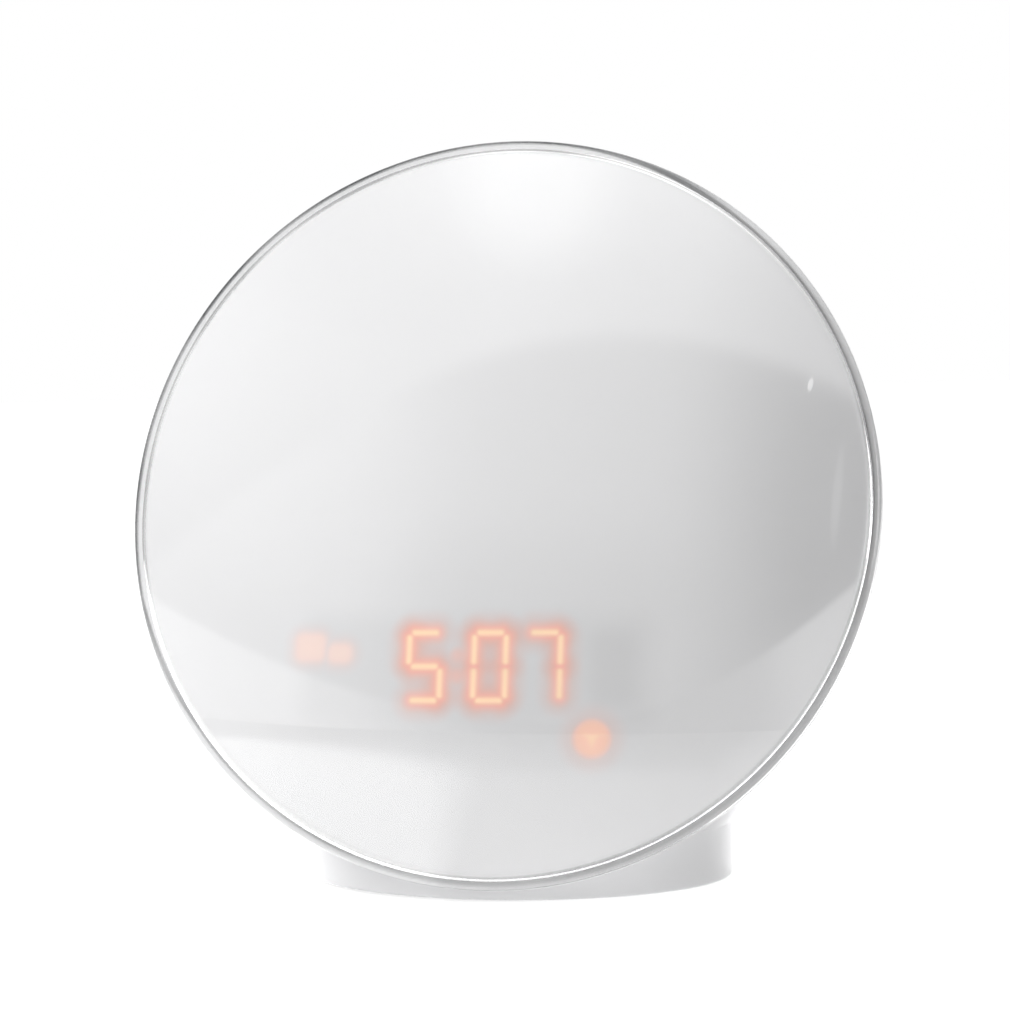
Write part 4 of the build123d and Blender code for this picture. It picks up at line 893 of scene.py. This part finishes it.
def surround(tree, ambient):
    """White for the camera, one map of light for matt surfaces and another for mirrors and clear pieces."""
    tree.nodes.clear()
    coords = add(tree, "ShaderNodeTexCoord")
    way = add(tree, "ShaderNodeSeparateXYZ", {0: coords.outputs["Generated"]})
    x, y, z = way.outputs[0], way.outputs[1], way.outputs[2]
    matt = add(tree, "ShaderNodeMath", {0: matt_light(tree, x, y, z), 1: ambient}, operation="MULTIPLY")
    path = add(tree, "ShaderNodeLightPath")
    sharp = gathered(tree, [path.outputs["Is Glossy Ray"], path.outputs["Is Transmission Ray"]], "MAXIMUM")
    lit = add(tree, "ShaderNodeMix", {0: sharp, 2: matt, 3: mirrored_room(tree, x, y, z)})
    level = add(tree, "ShaderNodeMix", {0: path.outputs["Is Camera Ray"], 2: lit, 3: 1.0})
    sky = add(tree, "ShaderNodeBackground", {"Color": level, "Strength": 1.0})
    add(tree, "ShaderNodeOutputWorld", {"Surface": sky})


def studio_paper():
    """White backdrop paper, matt: it keeps a shadow and glows, so it looks white to the camera.

    Its glow in mirrors is bright close by and at the left: side level times (0.5 / distance - 0.2). It
    stays below a ceiling, and it never falls below the table's far edge, which is brighter on the right.
    """
    glow, mirror_ceiling = 0.7, 2.2
    material, tree = new_material("studio_paper")
    path = add(tree, "ShaderNodeLightPath")
    coords = add(tree, "ShaderNodeTexCoord")
    place = add(tree, "ShaderNodeSeparateXYZ", {0: coords.outputs["Object"]})
    x, y = place.outputs[0], place.outputs[1]
    distance = add(tree, "ShaderNodeVectorMath", {0: coords.outputs["Object"]},
                   operation="LENGTH").outputs["Value"]

    bearing = add(tree, "ShaderNodeMath", {0: x, 1: y}, operation="DIVIDE")
    side = add(tree, "ShaderNodeMapRange", {0: bearing, 1: 0.2, 2: 1.0, 3: 1.0, 4: 6.0})
    near = add(tree, "ShaderNodeMath", {0: 0.5, 1: distance}, operation="DIVIDE")
    falling = add(tree, "ShaderNodeMath", {0: near, 1: 0.2}, operation="SUBTRACT")
    held = add(tree, "ShaderNodeClamp", {0: falling, 1: 0.2, 2: 1.2})
    ahead = add(tree, "ShaderNodeMath", {0: held, 1: side}, operation="MULTIPLY")
    capped = add(tree, "ShaderNodeMath", {0: ahead, 1: mirror_ceiling}, operation="MINIMUM")
    least = add(tree, "ShaderNodeMapRange", {0: bearing, 1: -0.3, 2: -0.45, 3: 0.75, 4: 1.5})
    mirrored = gathered(tree, [capped, least], "MAXIMUM")

    # matt surfaces get light back from the paper close to the foot's right half
    around = add(tree, "ShaderNodeMapRange", {0: distance, 1: 0.055, 2: 0.08, 3: 0.35, 4: 0.0})
    from_left = add(tree, "ShaderNodeMapRange", {0: x, 1: -0.03, 2: 0.03})
    to_right = add(tree, "ShaderNodeMapRange", {0: x, 1: 0.04, 2: 0.055, 3: 1.0, 4: 0.0})
    bounced = gathered(tree, [around, from_left, to_right, path.outputs["Is Diffuse Ray"]], "MULTIPLY")

    seen = gathered(tree, [path.outputs["Is Camera Ray"], path.outputs["Is Transmission Ray"]], "MAXIMUM")
    direct = add(tree, "ShaderNodeMath", {0: seen, 1: glow, 2: bounced}, operation="MULTIPLY_ADD")
    strength = add(tree, "ShaderNodeMix", {0: path.outputs["Is Glossy Ray"], 2: direct, 3: mirrored})
    paper = add(tree, "ShaderNodeBsdfDiffuse", {"Color": linear("#D6D6D6")})
    light = add(tree, "ShaderNodeEmission", {"Color": linear("#FFFFFF"), "Strength": strength})
    finish_material(tree, add(tree, "ShaderNodeAddShader", {0: paper, 1: light}))
    return material


def lay_floor():
    """Wide square of paper, level with the feet."""
    corners = [(x * FLOOR_REACH, y * FLOOR_REACH, FLOOR_HEIGHT)
               for x, y in ((-1, -1), (1, -1), (1, 1), (-1, 1))]
    mesh = bpy.data.meshes.new("floor")
    mesh.from_pydata(corners, [], [(0, 1, 2, 3)])
    mesh.materials.append(studio_paper())
    floor = bpy.data.objects.new("floor", mesh)
    bpy.context.scene.collection.objects.link(floor)


def hang_softbox(scene, target, power):
    """Square lamp at the upper left that looks at the target. The camera and mirrors don't see it."""
    lamp = bpy.data.lights.new("left_softbox", "AREA")
    lamp.shape = "RECTANGLE"
    lamp.size = SOFTBOX_SIDE
    lamp.size_y = SOFTBOX_SIDE
    lamp.energy = power
    holder = bpy.data.objects.new("left_softbox", lamp)
    scene.collection.objects.link(holder)
    holder.location = target + Vector(SOFTBOX_PLACE)
    holder.rotation_euler = (target - holder.location).to_track_quat("-Z", "Y").to_euler()
    holder.visible_camera = False
    holder.visible_glossy = False
    holder.visible_transmission = False


def place_camera(scene, target, settings):
    """Camera at a distance from the target; the roll turns its right and up about the line of sight."""
    turn, roll = settings.azimuth, settings.roll
    back = Vector(towards_viewer(turn, settings.elevation))
    right = Vector((cos(turn), sin(turn), 0))
    up = back.cross(right)
    seen_right = cos(roll) * right - sin(roll) * up
    seen_up = sin(roll) * right + cos(roll) * up
    camera = bpy.data.objects.new("camera", bpy.data.cameras.new("camera"))
    scene.collection.objects.link(camera)
    camera.matrix_world = Matrix((seen_right, seen_up, back)).transposed().to_4x4()
    camera.location = target + settings.distance * back
    camera.data.lens = settings.focal
    camera.data.sensor_width = SENSOR_WIDTH
    camera.data.shift_x = PICTURE_SHIFT[0] / PICTURE_SIDE
    camera.data.shift_y = PICTURE_SHIFT[1] / PICTURE_SIDE
    camera.data.clip_start = 0.01
    scene.camera = camera


class ALARM_CLOCK_OT_stage(bpy.types.Operator):
    """Set the floor, lights, surroundings and camera."""

    bl_idname = "alarm_clock.stage"
    bl_label = "Studio"

    def execute(self, context):
        scene = context.scene
        settings = scene.alarm_clock.stage
        centre = Vector(FACE_CENTRE / 1000)
        scene.view_settings.view_transform = "Standard"
        scene.world = bpy.data.worlds.new("studio")
        scene.world.use_nodes = True
        surround(scene.world.node_tree, settings.ambient)
        lay_floor()
        hang_softbox(scene, centre, settings.key_power)
        place_camera(scene, centre, settings)
        return {"FINISHED"}


# ---- panel and start ----
class ALARM_CLOCK_PT_panel(bpy.types.Panel):
    """Lists the clock's settings and steps."""

    bl_label = "Alarm Clock"
    bl_space_type = "VIEW_3D"
    bl_region_type = "UI"
    bl_category = "Alarm Clock"

    def draw(self, context):
        settings = context.scene.alarm_clock
        for group in (settings.face, settings.display, settings.case, settings.stage):
            box = self.layout.box()
            for name in group.bl_rna.properties.keys():
                if name not in ("rna_type", "name"):
                    box.prop(group, name)
        for operator in STEPS:
            self.layout.operator(operator.bl_idname)


STEPS = (ALARM_CLOCK_OT_cover, ALARM_CLOCK_OT_diffuser, ALARM_CLOCK_OT_case, ALARM_CLOCK_OT_keys,
         ALARM_CLOCK_OT_inside, ALARM_CLOCK_OT_stage)
CLASSES = (FaceSettings, DisplaySettings, CaseSettings, StageSettings, ClockSettings, *STEPS,
           ALARM_CLOCK_PT_panel)


def register():
    """Register the classes and the scene's settings."""
    for cls in CLASSES:
        bpy.utils.register_class(cls)
    bpy.types.Scene.alarm_clock = bpy.props.PointerProperty(type=ClockSettings)


def unregister():
    """Take the settings and classes away again."""
    del bpy.types.Scene.alarm_clock
    for cls in reversed(CLASSES):
        bpy.utils.unregister_class(cls)


def main():
    """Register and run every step."""
    register()
    bpy.ops.alarm_clock.cover()
    bpy.ops.alarm_clock.diffuser()
    bpy.ops.alarm_clock.case()
    bpy.ops.alarm_clock.keys()
    bpy.ops.alarm_clock.inside()
    bpy.ops.alarm_clock.stage()


if __name__ == "__main__":
    main()
